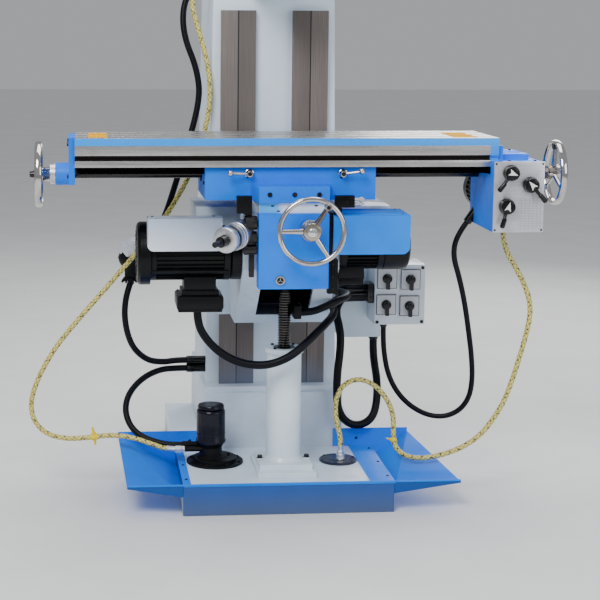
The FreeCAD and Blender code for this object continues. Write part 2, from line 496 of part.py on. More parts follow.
# ====================================================================== table
tb = fuse("table_fused", [
    bx("table_slab", "table_x0", "table_x1", "table_y0", "table_y1", "table_under", "table_top"),
    pad("table_tail", "x", [(-385, 1094), (-205, 1094), (-190, G["tail_under"]), (-400, G["tail_under"])], "table_x0", "table_x1")])
cuts = [bx("front_groove", "table_x0 - 1", "table_x1 + 1", "table_y0 - 1", "table_y0 + 12", 1115.5, 1128),
        bx("screw_recess", "table_x0 - 1", "table_x1 + 1", "lead_y - 18", "lead_y + 18", 1060, 1084)]
for i, y in enumerate((-375, -295, -215)):
    cuts.append(bx("tee_top_%d" % i, "table_x0 - 1", "table_x1 + 1", y - 8, y + 8, 1160, "table_top + 1"))
    cuts.append(bx("tee_low_%d" % i, "table_x0 - 1", "table_x1 + 1", y - 14, y + 14, 1149, 1162))
node("table", cut("table_cut", tb, cuts))
node("end_bracket_left", cut("end_left_cut", fuse("end_left_fused", [
    bx("end_left_plate", -685, "table_x0", -400, -200, 1035, 1181), cy("end_left_bearing", "x", 35, -726, -684, "lead_y", "lead_z")]),
    [cy("end_left_bore", "x", "lead_rad + run_gap", -800, -600, "lead_y", "lead_z")]))
gb = fuse("gearbox_outer", [
    bx("gearbox_box", "gear_x0", "gear_x1", "gear_y0", "gear_y1", "gear_z0", "gear_z1"),
    bx("gearbox_bracket", "table_x1", 666, -440, -180, 1068, 1157), rod("gearbox_gland", 12.5, (606, -250, 893), (636, -250, 933)),
    cy("gearbox_bearing", "x", 32, "gear_x1 - 1", 800, "lead_y", "lead_z"),
    bx("gearbox_hood", 666, 760, -400, -215, "gear_z1 - 1", 1128)])
node("feed_gearbox", cut("gearbox_cut", gb, [
    bx("gearbox_notch", 600, "table_x1", -456, -100, 1067.9, 1250),
    bx("gearbox_hollow", "gear_x0 + 10", "gear_x1 - 10", "gear_y0 - 1", "gear_y1 - 12", "gear_z0 + 10", 1038),
    cy("gearbox_bore", "x", "lead_rad + run_gap", 600, 820, "lead_y", "lead_z"),
    cy("selector_clear_a", "y", 9, -500, -470, 675.2, 1078.7), cy("selector_clear_b", "y", 9, -500, -470, 738.1, 1041.5)]))
SEL = [(675.2, 1078.7, 636.4, 1028.6), (738.1, 1041.5, 777.9, 994.7), (664.7, 974.3, 647.0, 916.0)]
node("gearbox_plate", cut("plate_cut", bx("plate", "gear_x0", "gear_x1", "gear_y0 - 5", "gear_y0", "gear_z0", "gear_z1 + 2"),
                          [cy("plate_hole_%d" % i, "y", 5 + g, -520, -480, q[0], q[1]) for i, q in enumerate(SEL)]))
for i, (kx, kz, lx, lz) in enumerate(SEL):
    node("selector_%d" % (i + 1), fuse("selector_fused_%d" % i, [
        cy("selector_shaft_%d" % i, "y", 5, -510, -490, kx, kz), cy("selector_disc_%d" % i, "y", 23, -530, -502.3, kx, kz),
        rod("selector_arm_%d" % i, 5, (kx, -518, kz), (lx, -530, lz), 6.5), ball("selector_end_%d" % i, 8, lx, -530, lz)]))
node("table_feed_motor", fuse("feed_motor_fused", [
    cy("feed_motor_body", "y", 70, -215, -85, 708, 988), cy("feed_motor_cap", "y", 74, -110, -60, 708, 988)] +
    [cy("feed_motor_fin_%d" % i, "y", 74, -200 + 16 * i, -196 + 16 * i, 708, 988) for i in range(5)]))
node("table_screw", fuse("table_screw_fused", [cy("lead_rod", "x", "lead_rad", -764, 888, "lead_y", "lead_z"),
                                               cy("lead_nut_left", "x", 10, -797, -763, "lead_y", "lead_z"), cy("lead_nut_right", "x", 10, 887, 900, "lead_y", "lead_z")]))


def side_wheel(tag, xc, s, dial0):
    """Handwheel across X at xc; s points outwards."""
    w = [cy(tag + "_rim_out", "x", 105, xc - 12, xc + 12, "lead_y", "lead_z")]
    rim = cut(tag + "_rim", w[0], [cy(tag + "_rim_in", "x", 91, xc - 13, xc + 13, "lead_y", "lead_z")])
    hub0, hub1 = sorted((xc + s * 14, dial0))
    sh = [rim, cy(tag + "_hub", "x", 20, hub0, hub1, "lead_y", "lead_z")]
    for i, a in enumerate((90, 210, 330)):
        c_, s_ = math.cos(math.radians(a)), math.sin(math.radians(a))
        sh.append(rod("%s_spoke_%d" % (tag, i), 8, (xc - s * 4, -300 + 14 * c_, 1060 + 14 * s_), (xc, -300 + 95 * c_, 1060 + 95 * s_), 6))
    return sh


lw = side_wheel("wheel_left", -779.0, -1, -744.0)
lw += [cy("dial_left", "x", 30, -744.5, -726.3, "lead_y", "lead_z"), rod("left_handle", 10, (-779, -373, 1101), (-803, -373, 1101)),
       rod("left_handle_lug", 9, (-779, -360, 1095), (-779, -390, 1109))]
node("handwheel_left", cut("wheel_left_cut", fuse("wheel_left_fused", lw), [cy("wheel_left_bore", "x", "lead_rad", -800, -700, "lead_y", "lead_z"), cy("wheel_left_key", "x", 10.2, -900, -700, "lead_y", "lead_z")]))
rw = side_wheel("wheel_right", 878.0, 1, 812.0)
rw += [cy("dial_right", "x", 30, 800.3, 812.5, "lead_y", "lead_z"), rod("right_handle", 11, (862, -300, 1142), (890, -300, 1142))]
node("handwheel_right", cut("wheel_right_cut", fuse("wheel_right_fused", rw), [cy("wheel_right_bore", "x", "lead_rad", 780, 900, "lead_y", "lead_z")]))

# ============================================ free conduits, cables and hoses
ROUTES = {
    "conduit_head": (21.0, [
        (-142, 110, 1690), (-201.585, 110, 1690), (-257, 106, 1662), (-300, 99, 1600), (-301, 85, 1493), (-252, 72, 1372), (-244, 62, 1262),
        (-319, 49, 1019), (-364, 34, 878), (-422, 9, 767), (-482, -20, 679), (-509, -38, 572), (-488, -33, 457), (-432, -1, 393),
        (-371, 32, 377), (-325.689, 45, 381), (-288, 45, 381),
    ]),
    "conduit_pump": (21.0, [
        (-288, 45, 353), (-329.741, 45, 353), (-381, 27, 353), (-439, -11, 336), (-487, -57, 299), (-506, -101, 255), (-495, -141, 209),
        (-461, -176, 177), (-410, -202, 161), (-360.722, -215, 153), (-322, -215, 153),
    ]),
    "cable_lift_motor": (26.0, [
        (-286, -400, 646), (-286, -400, 601.347), (-264, -407, 554), (-222, -416, 510), (-170, -424, 480), (-114, -430, 466), (-56, -432, 468),
        (4, -428, 490), (62, -404, 530), (119, -357, 572), (169, -296, 602), (171, -212, 618), (201, -124, 619), (251.812, -88, 618),
        (311, -88, 618),
    ]),
    "cable_knee": (24.0, [
        (50, -345, 618), (84.353, -345, 618), (129, -343, 635), (174, -326, 652), (210, -286, 657), (219, -234, 658), (185, -149, 654),
        (210, -82, 650), (256.254, -50, 648), (311, -50, 648),
    ]),
    "conduit_cabinet": (27.0, [
        (308, -5, 618), (270.483, -5, 618), (236, -15, 601), (212, -38, 562), (226, -73, 499), (222, -96, 438), (212, -108, 372),
        (209, -112, 306), (213, -114, 244), (235, -111, 200), (272, -104, 179), (314, -94, 183), (345, -80, 209), (359, -57, 262),
        (363, -27, 318), (363, 23, 362), (362, 50, 404.058), (362, 50, 446),
    ]),
    "cable_table": (18.0, [
        (375, -60, 511), (375, -60, 467.563), (380, -62, 411), (392, -66, 350), (420, -74, 290), (464, -84, 242), (520, -97, 211),
        (577, -114, 206), (627, -132, 231), (657, -147, 281), (663, -158, 350), (655, -168, 430), (639, -181, 519), (620, -199, 610),
        (594, -222, 701), (563, -244, 785), (574.166, -250, 850.554), (606, -250, 893),
    ]),
    "coolant_hose": (16.5, [
        (-334, -245, 147), (-370.951, -245, 147), (-422, -233, 163), (-484, -209, 180), (-552, -187, 184), (-623, -176, 173), (-697, -173, 168),
        (-765, -170, 184), (-809, -166, 230), (-818, -159, 293), (-793, -150, 369), (-750, -141, 446), (-703, -131, 511), (-486, -81, 749),
        (-385, -61, 865), (-307, -44, 981), (-255, -32, 1092), (-228, -24, 1191), (-213, -15, 1281), (-219, 2, 1379), (-245, 28, 1487),
        (-280, 50, 1598), (-251, 57, 1667), (-199.626, 60, 1700), (-142, 60, 1700),
    ]),
    "drain_hose": (16.5, [
        (201.6, -249, 150), (201.6, -249, 179.795), (191, -238, 220), (186, -217, 269), (199, -199, 322), (236, -184, 353), (285, -174, 357),
        (329, -173, 334), (363, -179, 296), (384, -188, 254), (387, -206, 215), (380, -236, 179), (378, -278, 150), (401, -321, 132),
        (450, -348, 130), (513, -357, 143), (580, -356, 165), (641, -352, 203), (688, -350, 261), (723, -348, 339), (775, -340, 542),
        (783, -335, 633), (756, -332, 724), (703, -330, 826.217), (703, -330, 893),
    ]),
}


def tube(label, dia, pts):
    """Round tube along straight runs joined by tangent arcs."""
    P = [V(*p) for p in pts]
    edges, cur, radii = [], P[0], []
    for i in range(1, len(P) - 1):
        a, b = (P[i] - P[i - 1]), (P[i + 1] - P[i])
        la, lb = a.Length, b.Length
        a.normalize(), b.normalize()
        turn = a.getAngle(b)
        if turn < math.radians(0.8):
            continue
        rad = 0.45 * min(la, lb) / math.tan(turn / 2)
        back_ = 0.45 * min(la, lb)
        s0, s1 = P[i] - a * back_, P[i] + b * back_
        n = (b - a)
        n.normalize()
        mid_d = rad / math.cos(turn / 2) - rad
        mid = P[i] + n * mid_d
        edges.append(Part.makeLine(cur, s0))
        edges.append(Part.Arc(s0, mid, s1).toShape())
        cur = s1
        radii.append(rad)
    edges.append(Part.makeLine(cur, P[-1]))
    wire = Part.Wire(edges)
    prof = Part.Wire([Part.makeCircle(dia / 2.0, P[0], P[1] - P[0])])
    sol = wire.makePipeShell([prof], True, False, 1)
    length = wire.Length
    want = math.pi * dia * dia / 4 * length
    print("%-18s length %7.1f mm  smallest radius %5.1f mm (%.1f d)  volume ratio %.4f  valid %s" % (
        label, length, min(radii), min(radii) / dia, sol.Volume / want, sol.isValid()))
    o = doc.addObject("Part::Feature", label)
    o.Shape = sol
    return node(label, o)


for label, (dia, pts) in ROUTES.items():
    cell(label.replace("_", "") + "_dia", dia)
    tube(label, dia, pts)

# ================================================================ check, write
doc.recompute()
bad = [o.Name for o in doc.Objects if "Invalid" in o.State or "Error" in o.State]
names = [n for n, _ in NODES]
assert len(names) == len(set(names)), "repeated node name"
for n, o in NODES:
    s = o.Shape
    if s.isNull() or not s.isValid() or s.Volume <= 0 or not s.Solids:
        bad.append("shape of " + n)
if bad:
    raise SystemExit("failed: " + ", ".join(bad))
os.makedirs("parts", exist_ok=True)
box = None
for n, o in NODES:
    o.Shape.exportStep("parts/%s.step" % n)
    b = o.Shape.BoundBox
    box = b if box is None else box.united(b)
print(len(NODES), "nodes; box", [round(v, 1) for v in (box.XMin, box.XMax, box.YMin, box.YMax, box.ZMin, box.ZMax)])
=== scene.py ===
import json
import math
import bpy
import bmesh
import numpy as np
from mathutils import Vector, Matrix, noise

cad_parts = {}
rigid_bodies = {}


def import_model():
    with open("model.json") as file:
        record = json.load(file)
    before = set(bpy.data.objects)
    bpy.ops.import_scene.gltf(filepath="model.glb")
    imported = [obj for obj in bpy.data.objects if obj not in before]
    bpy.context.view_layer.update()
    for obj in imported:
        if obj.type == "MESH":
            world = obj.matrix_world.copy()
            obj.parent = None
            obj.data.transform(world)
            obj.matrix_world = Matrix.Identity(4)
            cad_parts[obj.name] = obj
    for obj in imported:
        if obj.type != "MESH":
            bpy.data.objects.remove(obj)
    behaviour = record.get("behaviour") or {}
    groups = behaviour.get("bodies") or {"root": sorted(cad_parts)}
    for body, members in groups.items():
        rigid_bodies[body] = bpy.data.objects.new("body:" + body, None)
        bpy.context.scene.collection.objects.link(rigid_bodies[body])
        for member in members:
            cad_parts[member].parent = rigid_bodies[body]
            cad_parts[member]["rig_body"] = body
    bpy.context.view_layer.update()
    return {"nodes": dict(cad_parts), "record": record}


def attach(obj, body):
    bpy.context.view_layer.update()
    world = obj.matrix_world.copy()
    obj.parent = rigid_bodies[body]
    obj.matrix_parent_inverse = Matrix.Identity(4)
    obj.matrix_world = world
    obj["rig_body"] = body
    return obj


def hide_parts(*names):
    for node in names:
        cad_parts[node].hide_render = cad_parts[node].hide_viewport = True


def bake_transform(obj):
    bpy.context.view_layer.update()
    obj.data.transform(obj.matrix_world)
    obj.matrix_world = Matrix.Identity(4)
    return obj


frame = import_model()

NODES = frame["nodes"]
BODY = {n: o["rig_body"] for n, o in NODES.items()}
SLOT = {s["node"]: s["material_slot"] for s in frame["record"]["subparts"]}
MM = 0.001
scene = bpy.context.scene

# ------------------------------------------------------------------ materials


def new_mat(name):
    m = bpy.data.materials.new(name)
    m.use_nodes = True
    nt = m.node_tree
    b = nt.nodes["Principled BSDF"]
    return m, nt, b


def nd(nt, kind, **kw):
    n = nt.nodes.new(kind)
    for k, v in kw.items():
        if hasattr(n, k):
            setattr(n, k, v)
        else:
            n.inputs[k].default_value = v
    return n


def coords(nt, scale=(1, 1, 1), kind="Object", rot=(0, 0, 0)):
    t = nt.nodes.new("ShaderNodeTexCoord")
    mp = nt.nodes.new("ShaderNodeMapping")
    mp.inputs["Scale"].default_value = scale
    mp.inputs["Rotation"].default_value = rot
    nt.links.new(t.outputs[kind], mp.inputs["Vector"])
    return mp.outputs["Vector"]


def noise_tex(nt, vec, scale, detail=4.0, rough=0.55):
    n = nt.nodes.new("ShaderNodeTexNoise")
    n.inputs["Scale"].default_value = scale
    n.inputs["Detail"].default_value = detail
    n.inputs["Roughness"].default_value = rough
    nt.links.new(vec, n.inputs["Vector"])
    return n.outputs["Fac"]


def ramp(nt, fac, stops):
    r = nt.nodes.new("ShaderNodeValToRGB")
    e = r.color_ramp.elements
    e[0].position, e[0].color = stops[0][0], (*stops[0][1], 1)
    e[1].position, e[1].color = stops[-1][0], (*stops[-1][1], 1)
    for p, c in stops[1:-1]:
        q = e.new(p)
        q.color = (*c, 1)
    nt.links.new(fac, r.inputs["Fac"])
    return r.outputs["Color"]


def g3(v):
    return (v, v, v)


def math_n(nt, op, a, b=None, clamp=False):
    n = nt.nodes.new("ShaderNodeMath")
    n.operation = op
    n.use_clamp = clamp
    for i, v in enumerate((a, b)):
        if v is None:
            continue
        if isinstance(v, (int, float)):
            n.inputs[i].default_value = v
        else:
            nt.links.new(v, n.inputs[i])
    return n.outputs[0]


def mixc(nt, fac, a, b, mode="MIX"):
    n = nt.nodes.new("ShaderNodeMix")
    n.data_type = "RGBA"
    n.blend_type = mode
    for key, v in (("Factor", fac), ("A", a), ("B", b)):
        s = [i for i in n.inputs if i.name == key and (i.type == "RGBA" or key == "Factor")]
        s = s[0] if key != "Factor" else n.inputs[0]
        if isinstance(v, tuple):
            s.default_value = (*v, 1) if len(v) == 3 else v
        elif isinstance(v, (int, float)):
            s.default_value = v
        else:
            nt.links.new(v, s)
    return [o for o in n.outputs if o.type == "RGBA"][0]


def bump(nt, b, height, strength, dist=0.001):
    n = nt.nodes.new("ShaderNodeBump")
    n.inputs["Strength"].default_value = strength
    n.inputs["Distance"].default_value = dist
    nt.links.new(height, n.inputs["Height"])
    nt.links.new(n.outputs["Normal"], b.inputs["Normal"])
    return n


def paint(name, col, rough=0.32, dirt=0.35, dirtcol=(0.25, 0.24, 0.22), peel=0.12, coat=0.35, chips=None, spec=0.5):
    """Sprayed enamel: faint tone drift, dust in patches, orange peel, a few scuffs."""
    m, nt, b = new_mat(name)
    v = coords(nt)
    big = noise_tex(nt, v, 5.0, 3.0)
    fine = noise_tex(nt, v, 160.0, 3.0)
    patch = noise_tex(nt, v, 14.0, 8.0, 0.7)
    lo = tuple(c * 0.86 for c in col)
    hi = tuple(min(1, c * 1.08 + 0.004) for c in col)
    base = ramp(nt, big, [(0.3, lo), (0.7, hi)])
    d = ramp(nt, patch, [(0.56, g3(0)), (0.75, g3(dirt))])
    c = mixc(nt, d, base, dirtcol)
    if chips:
        ch = ramp(nt, noise_tex(nt, v, 46.0, 9.0, 0.8), [(0.70, g3(0)), (0.715, g3(0.85))])
        c = mixc(nt, ch, c, chips)
    nt.links.new(c, b.inputs["Base Color"])
    r = ramp(nt, patch, [(0.3, g3(rough * 0.8)), (0.75, g3(min(1, rough * 1.7)))])
    nt.links.new(r, b.inputs["Roughness"])
    b.inputs["Coat Weight"].default_value = coat
    b.inputs["Coat Roughness"].default_value = 0.12
    b.inputs["Specular IOR Level"].default_value = spec
    bump(nt, b, fine, peel, 0.0006)
    return m


def metal(name, col, rough=0.3, stretch=(1, 60, 60), streak=0.35, scale=6.0, stain=0.25):
    """Machined metal: tool marks run along one axis, with stains and duller patches."""
    m, nt, b = new_mat(name)
    b.inputs["Metallic"].default_value = 1.0
    v = coords(nt, stretch)
    st = noise_tex(nt, v, scale, 6.0, 0.6)
    pt = noise_tex(nt, coords(nt), 12.0, 7.0, 0.65)
    base = ramp(nt, st, [(0.3, tuple(c * 0.8 for c in col)), (0.7, tuple(min(1, c * 1.1) for c in col))])
    c = mixc(nt, ramp(nt, pt, [(0.5, g3(0)), (0.8, g3(stain))]), base, (0.16, 0.12, 0.09))
    nt.links.new(c, b.inputs["Base Color"])
    r = math_n(nt, "ADD", math_n(nt, "MULTIPLY", st, streak * 0.6), math_n(nt, "MULTIPLY", pt, rough), True)
    nt.links.new(r, b.inputs["Roughness"])
    bump(nt, b, st, 0.12, 0.0004)
    return m


BLUE = paint("blue_enamel", (0.0, 0.195, 1.0), 0.46, 0.14, (0.0, 0.11, 0.6), coat=0.03, spec=0.18)
BLUE_DK = paint("blue_enamel_tray", (0.0, 0.18, 0.95), 0.48, 0.25, (0.0, 0.09, 0.40), coat=0.03, chips=(0.06, 0.24, 0.6), spec=0.22)
COVERT = paint("blue_top_enamel", (0.0, 0.25, 1.0), 0.8, 0.08, (0.0, 0.16, 0.7), coat=0.0, spec=0.08)
COVERB = paint("blue_cover_enamel", (0.0, 0.235, 1.0), 0.42, 0.08, (0.0, 0.15, 0.7), coat=0.03, spec=0.18)
WHITE = paint("white_enamel", (0.75, 0.87, 0.99), 0.34, 0.22, (0.42, 0.42, 0.40))
CASTW = paint("cast_white", (0.62, 0.74, 0.87), 0.5, 0.35, (0.30, 0.29, 0.27), peel=0.5)
BLACK = paint("black_enamel", (0.0005, 0.0006, 0.0016), 0.30, 0.05, (0.004, 0.004, 0.006), peel=0.25, coat=0.04, spec=0.18)
BLACKC = paint("black_cast", (0.0006, 0.0007, 0.0016), 0.42, 0.06, (0.006, 0.006, 0.008), peel=0.8, coat=0.02, spec=0.16)
NAVY = paint("navy_enamel", (0.006, 0.009, 0.030), 0.3, 0.12, (0.03, 0.035, 0.05), coat=0.15)
NAVYB = paint("navy_black_enamel", (0.0005, 0.0008, 0.0085), 0.24, 0.05, (0.002, 0.003, 0.012), coat=0.12, spec=0.22)
STEEL_X = metal("milled_steel_x", (0.58, 0.61, 0.65), 0.42, (1, 60, 60))
STEEL_Z = metal("ground_ways", (0.42, 0.38, 0.35), 0.5, (50, 50, 1), stain=0.5)
# dark oiled steel; on the elevating screw it is also painted shade in the thread grooves
THREAD_OILED_AND_SHADE = metal("oiled_steel_and_groove_shade", (0.018, 0.017, 0.017), 0.42, (6, 6, 6), 0.2, 8.0, 0.4)
CHROME = metal("polished_steel", (0.62, 0.59, 0.57), 0.14, (8, 8, 8), 0.08, 9.0, 0.25)
SATIN = metal("satin_steel", (0.70, 0.71, 0.73), 0.62, (20, 20, 20), 0.3, 5.0, 0.12)
BRIGHT = metal("bright_nut_steel", (0.86, 0.88, 0.90), 0.22, (8, 8, 8), 0.08, 9.0, 0.05)
# lighter copy of the thread steel for the screw's crests, lit against the shaded grooves
THREAD_CREST_LIT = metal("thread_crest_lit_steel", (0.13, 0.125, 0.125), 0.4, (6, 6, 6), 0.2, 8.0, 0.3)
DARKST = metal("blackened_steel", (0.045, 0.043, 0.045), 0.45, (6, 6, 6), 0.25, 8.0, 0.2)
BRASS = metal("brass_fitting", (0.56, 0.42, 0.22), 0.32, (6, 6, 6), 0.2, 10.0, 0.3)
HUBM = metal("hub_bronze_tint", (0.52, 0.47, 0.38), 0.28, (8, 8, 8), 0.15, 10.0, 0.3)
PLASTIC = paint("black_plastic", (0.0010, 0.0010, 0.0018), 0.16, 0.03, (0.006, 0.006, 0.007), peel=0.06, coat=0.1, spec=0.35)
TIE = paint("yellow_tie", (1.0, 0.70, 0.01), 0.4, 0.1, (0.5, 0.3, 0.02), coat=0.05, spec=0.2)
AMBER = paint("amber_marker", (1.0, 0.48, 0.0), 0.8, 0.1, (0.5, 0.2, 0.0), coat=0.0, spec=0.1)
WHITEMARK = paint("white_mark", (0.85, 0.85, 0.85), 0.4, 0.1)
PLATEW = paint("switch_plate", (0.62, 0.64, 0.68), 0.34, 0.12, (0.45, 0.45, 0.48), coat=0.1)
GREYBOX = paint("grey_enamel", (0.70, 0.77, 0.85), 0.34, 0.18, (0.35, 0.34, 0.33))


def table_mat():
    """Table: ground steel, with the front's top band painted blue; painted shade darkens the front groove, the
    underside and the T-slots.
    """
    m, nt, b = new_mat("table_steel_and_band")
    t = nt.nodes.new("ShaderNodeTexCoord")
    sx = nt.nodes.new("ShaderNodeSeparateXYZ")
    nt.links.new(t.outputs["Object"], sx.inputs[0])
    top = math_n(nt, "GREATER_THAN", sx.outputs["Z"], 1.1596)
    front = math_n(nt, "LESS_THAN", sx.outputs["Y"], -0.4542)
    notop = math_n(nt, "LESS_THAN", sx.outputs["Z"], 1.1822)
    band = math_n(nt, "MULTIPLY", math_n(nt, "MULTIPLY", top, front), notop)
    st = noise_tex(nt, coords(nt, (1, 50, 50)), 7.0, 6.0, 0.6)
    pt = noise_tex(nt, coords(nt), 9.0, 8.0, 0.7)
    steel = ramp(nt, st, [(0.3, (0.40, 0.39, 0.39)), (0.7, (0.58, 0.57, 0.57))])
    steel = mixc(nt, ramp(nt, pt, [(0.48, g3(0)), (0.8, g3(0.5))]), steel, (0.20, 0.15, 0.12))
    blue = ramp(nt, pt, [(0.3, (0.0, 0.30, 0.97)), (0.7, (0.0, 0.34, 1.0))])
    near = math_n(nt, "LESS_THAN", sx.outputs["Y"], -0.4345)
    end = math_n(nt, "MULTIPLY", math_n(nt, "GREATER_THAN", sx.outputs["X"], 0.6235), math_n(nt, "MULTIPLY", near, notop))
    band = math_n(nt, "MAXIMUM", band, end)
    # painted shade: the front groove, the underside and the T-slots (with the faces below the top further back) are
    # darkened towards near black
    groove = math_n(nt, "MULTIPLY", math_n(nt, "GREATER_THAN", sx.outputs["Z"], 1.1135), math_n(nt, "LESS_THAN", sx.outputs["Z"], 1.1295))
    low = math_n(nt, "LESS_THAN", sx.outputs["Z"], 1.0936)
    inner = math_n(nt, "MULTIPLY", math_n(nt, "GREATER_THAN", sx.outputs["Y"], -0.4545), math_n(nt, "LESS_THAN", sx.outputs["Y"], -0.44))
    groove = math_n(nt, "MULTIPLY", groove, near)
    slot_shade = math_n(nt, "MULTIPLY", math_n(nt, "LESS_THAN", sx.outputs["Z"], 1.1815), math_n(nt, "GREATER_THAN", sx.outputs["Y"], -0.43))
    dark = math_n(nt, "MAXIMUM", math_n(nt, "MAXIMUM", groove, low), math_n(nt, "MULTIPLY", slot_shade, 0.8))
    steel = mixc(nt, dark, steel, (0.012, 0.010, 0.009))
    nt.links.new(mixc(nt, band, steel, blue), b.inputs["Base Color"])
    nt.links.new(math_n(nt, "MULTIPLY", math_n(nt, "SUBTRACT", 1.0, band), 0.85), b.inputs["Metallic"])
    nt.links.new(math_n(nt, "ADD", math_n(nt, "MULTIPLY", st, 0.2), math_n(nt, "MULTIPLY", pt, 0.4)), b.inputs["Roughness"])
    bump(nt, b, st, 0.12, 0.0004)
    return m


def column_mat():
    """Column: white enamel; the ways' running faces are scraped bare."""
    m, nt, b = new_mat("column_enamel_and_ways")
    t = nt.nodes.new("ShaderNodeTexCoord")
    sx = nt.nodes.new("ShaderNodeSeparateXYZ")
    nt.links.new(t.outputs["Object"], sx.inputs[0])
    f = math_n(nt, "LESS_THAN", sx.outputs["Y"], 0.0235)
    ax = math_n(nt, "ABSOLUTE", sx.outputs["X"])
    w = math_n(nt, "MULTIPLY", math_n(nt, "LESS_THAN", ax, 0.1835), math_n(nt, "GREATER_THAN", sx.outputs["Z"], 0.3062))
    w = math_n(nt, "MULTIPLY", w, f)
    w = math_n(nt, "MULTIPLY", w, math_n(nt, "LESS_THAN", sx.outputs["Z"], 1.58))
    st = noise_tex(nt, coords(nt, (60, 60, 1)), 6.0, 6.0, 0.6)
    pt = noise_tex(nt, coords(nt), 8.0, 8.0, 0.7)
    lowz = ramp(nt, math_n(nt, "ADD", sx.outputs["Z"], math_n(nt, "MULTIPLY", pt, 0.25)), [(0.16, g3(0.35)), (0.42, g3(0.0))])
    white = ramp(nt, pt, [(0.3, (0.70, 0.81, 0.94)), (0.7, (0.77, 0.88, 1.00))])
    white = mixc(nt, lowz, white, (0.36, 0.36, 0.34))
    steel = ramp(nt, st, [(0.3, (0.17, 0.145, 0.135)), (0.7, (0.26, 0.225, 0.21))])
    seam = math_n(nt, "MULTIPLY", math_n(nt, "GREATER_THAN", ax, 0.1195), math_n(nt, "LESS_THAN", ax, 0.1235))
    steel = mixc(nt, seam, steel, (0.03, 0.028, 0.03))
    inner = math_n(nt, "MULTIPLY", math_n(nt, "LESS_THAN", ax, 0.1195), 0.45)
    steel = mixc(nt, inner, steel, (0.10, 0.085, 0.08))
    blu = ramp(nt, math_n(nt, "ADD", sx.outputs["Z"], math_n(nt, "MULTIPLY", pt, 0.05)), [(0.30, g3(0.6)), (0.44, g3(0.0))])
    steel = mixc(nt, blu, steel, (0.12, 0.20, 0.36))
    nt.links.new(mixc(nt, w, white, steel), b.inputs["Base Color"])
    nt.links.new(math_n(nt, "MULTIPLY", w, 0.7), b.inputs["Metallic"])
    nt.links.new(math_n(nt, "ADD", 0.28, math_n(nt, "MULTIPLY", pt, 0.25)), b.inputs["Roughness"])
    bump(nt, b, noise_tex(nt, coords(nt), 150.0, 3.0), 0.15, 0.0006)
    return m


def plate_mat():
    """Brushed face plate with a faint ruled table of blank cells."""
    m, nt, b = new_mat("gearbox_face_plate")
    t = nt.nodes.new("ShaderNodeTexCoord")
    sx = nt.nodes.new("ShaderNodeSeparateXYZ")
    nt.links.new(t.outputs["Object"], sx.inputs[0])
    st = noise_tex(nt, coords(nt, (1, 1, 90)), 8.0, 6.0, 0.6)
    pt = noise_tex(nt, coords(nt), 30.0, 8.0, 0.7)

    def lines(ch, pitch, width, off=0.0):
        q = math_n(nt, "FRACT", math_n(nt, "DIVIDE", math_n(nt, "ADD", sx.outputs[ch], 10.0 + off), pitch))
        return math_n(nt, "LESS_THAN", q, width)
    inx = math_n(nt, "MULTIPLY", math_n(nt, "GREATER_THAN", sx.outputs["X"], 0.701), math_n(nt, "LESS_THAN", sx.outputs["X"], 0.7745))
    inz = math_n(nt, "MULTIPLY", math_n(nt, "GREATER_THAN", sx.outputs["Z"], 0.905), math_n(nt, "LESS_THAN", sx.outputs["Z"], 0.998))
    grid = math_n(nt, "MAXIMUM", lines("X", 0.0122, 0.10), lines("Z", 0.0078, 0.15))
    cell = math_n(nt, "MULTIPLY", grid, math_n(nt, "MULTIPLY", inx, inz))
    base = ramp(nt, st, [(0.3, (0.50, 0.50, 0.54)), (0.7, (0.70, 0.70, 0.74))])
    base = mixc(nt, ramp(nt, pt, [(0.55, g3(0)), (0.8, g3(0.4))]), base, (0.34, 0.31, 0.30))
    nt.links.new(mixc(nt, math_n(nt, "MULTIPLY", cell, 0.45), base, (0.16, 0.16, 0.20)), b.inputs["Base Color"])
    b.inputs["Metallic"].default_value = 0.55
    nt.links.new(math_n(nt, "ADD", 0.22, math_n(nt, "MULTIPLY", pt, 0.25)), b.inputs["Roughness"])
    bump(nt, b, st, 0.08, 0.0003)
    return m


def hose_mat():
    """Braided hose: pale yellow filaments in two crossing lays, with dark tracer flecks."""
    m, nt, b = new_mat("braided_hose")
    t = nt.nodes.new("ShaderNodeTexCoord")
    sx = nt.nodes.new("ShaderNodeSeparateXYZ")
    nt.links.new(t.outputs["UV"], sx.inputs[0])
    u, v = sx.outputs["X"], sx.outputs["Y"]           # u: metres along, v: turns round

    def lay(sign):
        a = math_n(nt, "ADD", math_n(nt, "MULTIPLY", u, 62.0), math_n(nt, "MULTIPLY", v, 4.0 * sign))
        return math_n(nt, "ABSOLUTE", math_n(nt, "SINE", math_n(nt, "MULTIPLY", a, math.pi)))

    def tracer(sign, ph):
        a = math_n(nt, "ADD", math_n(nt, "MULTIPLY", u, 33.0), ph)
        step = math_n(nt, "MULTIPLY", math_n(nt, "FLOOR", a), 0.37)
        w = math_n(nt, "ADD", math_n(nt, "MULTIPLY", v, 3.0), math_n(nt, "MULTIPLY", step, sign))
        skew = math_n(nt, "ADD", a, math_n(nt, "MULTIPLY", v, 0.9 * sign))
        return math_n(nt, "MULTIPLY", math_n(nt, "LESS_THAN", math_n(nt, "FRACT", skew), 0.14), math_n(nt, "LESS_THAN", math_n(nt, "FRACT", w), 0.42))
    weave = math_n(nt, "MULTIPLY", lay(1), lay(-1))
    tr = math_n(nt, "MAXIMUM", tracer(1, 0.1), tracer(-1, 0.55))
    n = noise_tex(nt, coords(nt), 40.0, 5.0)
    base = ramp(nt, weave, [(0.0, (0.30, 0.23, 0.03)), (0.45, (0.78, 0.69, 0.18))])
    base = mixc(nt, ramp(nt, n, [(0.5, g3(0)), (0.8, g3(0.5))]), base, (0.40, 0.33, 0.12))
    nt.links.new(mixc(nt, tr, base, (0.02, 0.018, 0.012)), b.inputs["Base Color"])
    b.inputs["Roughness"].default_value = 0.42
    b.inputs["Coat Weight"].default_value = 0.15
    b.inputs["Coat Roughness"].default_value = 0.2
    bump(nt, b, weave, 0.5, 0.0008)
    return m


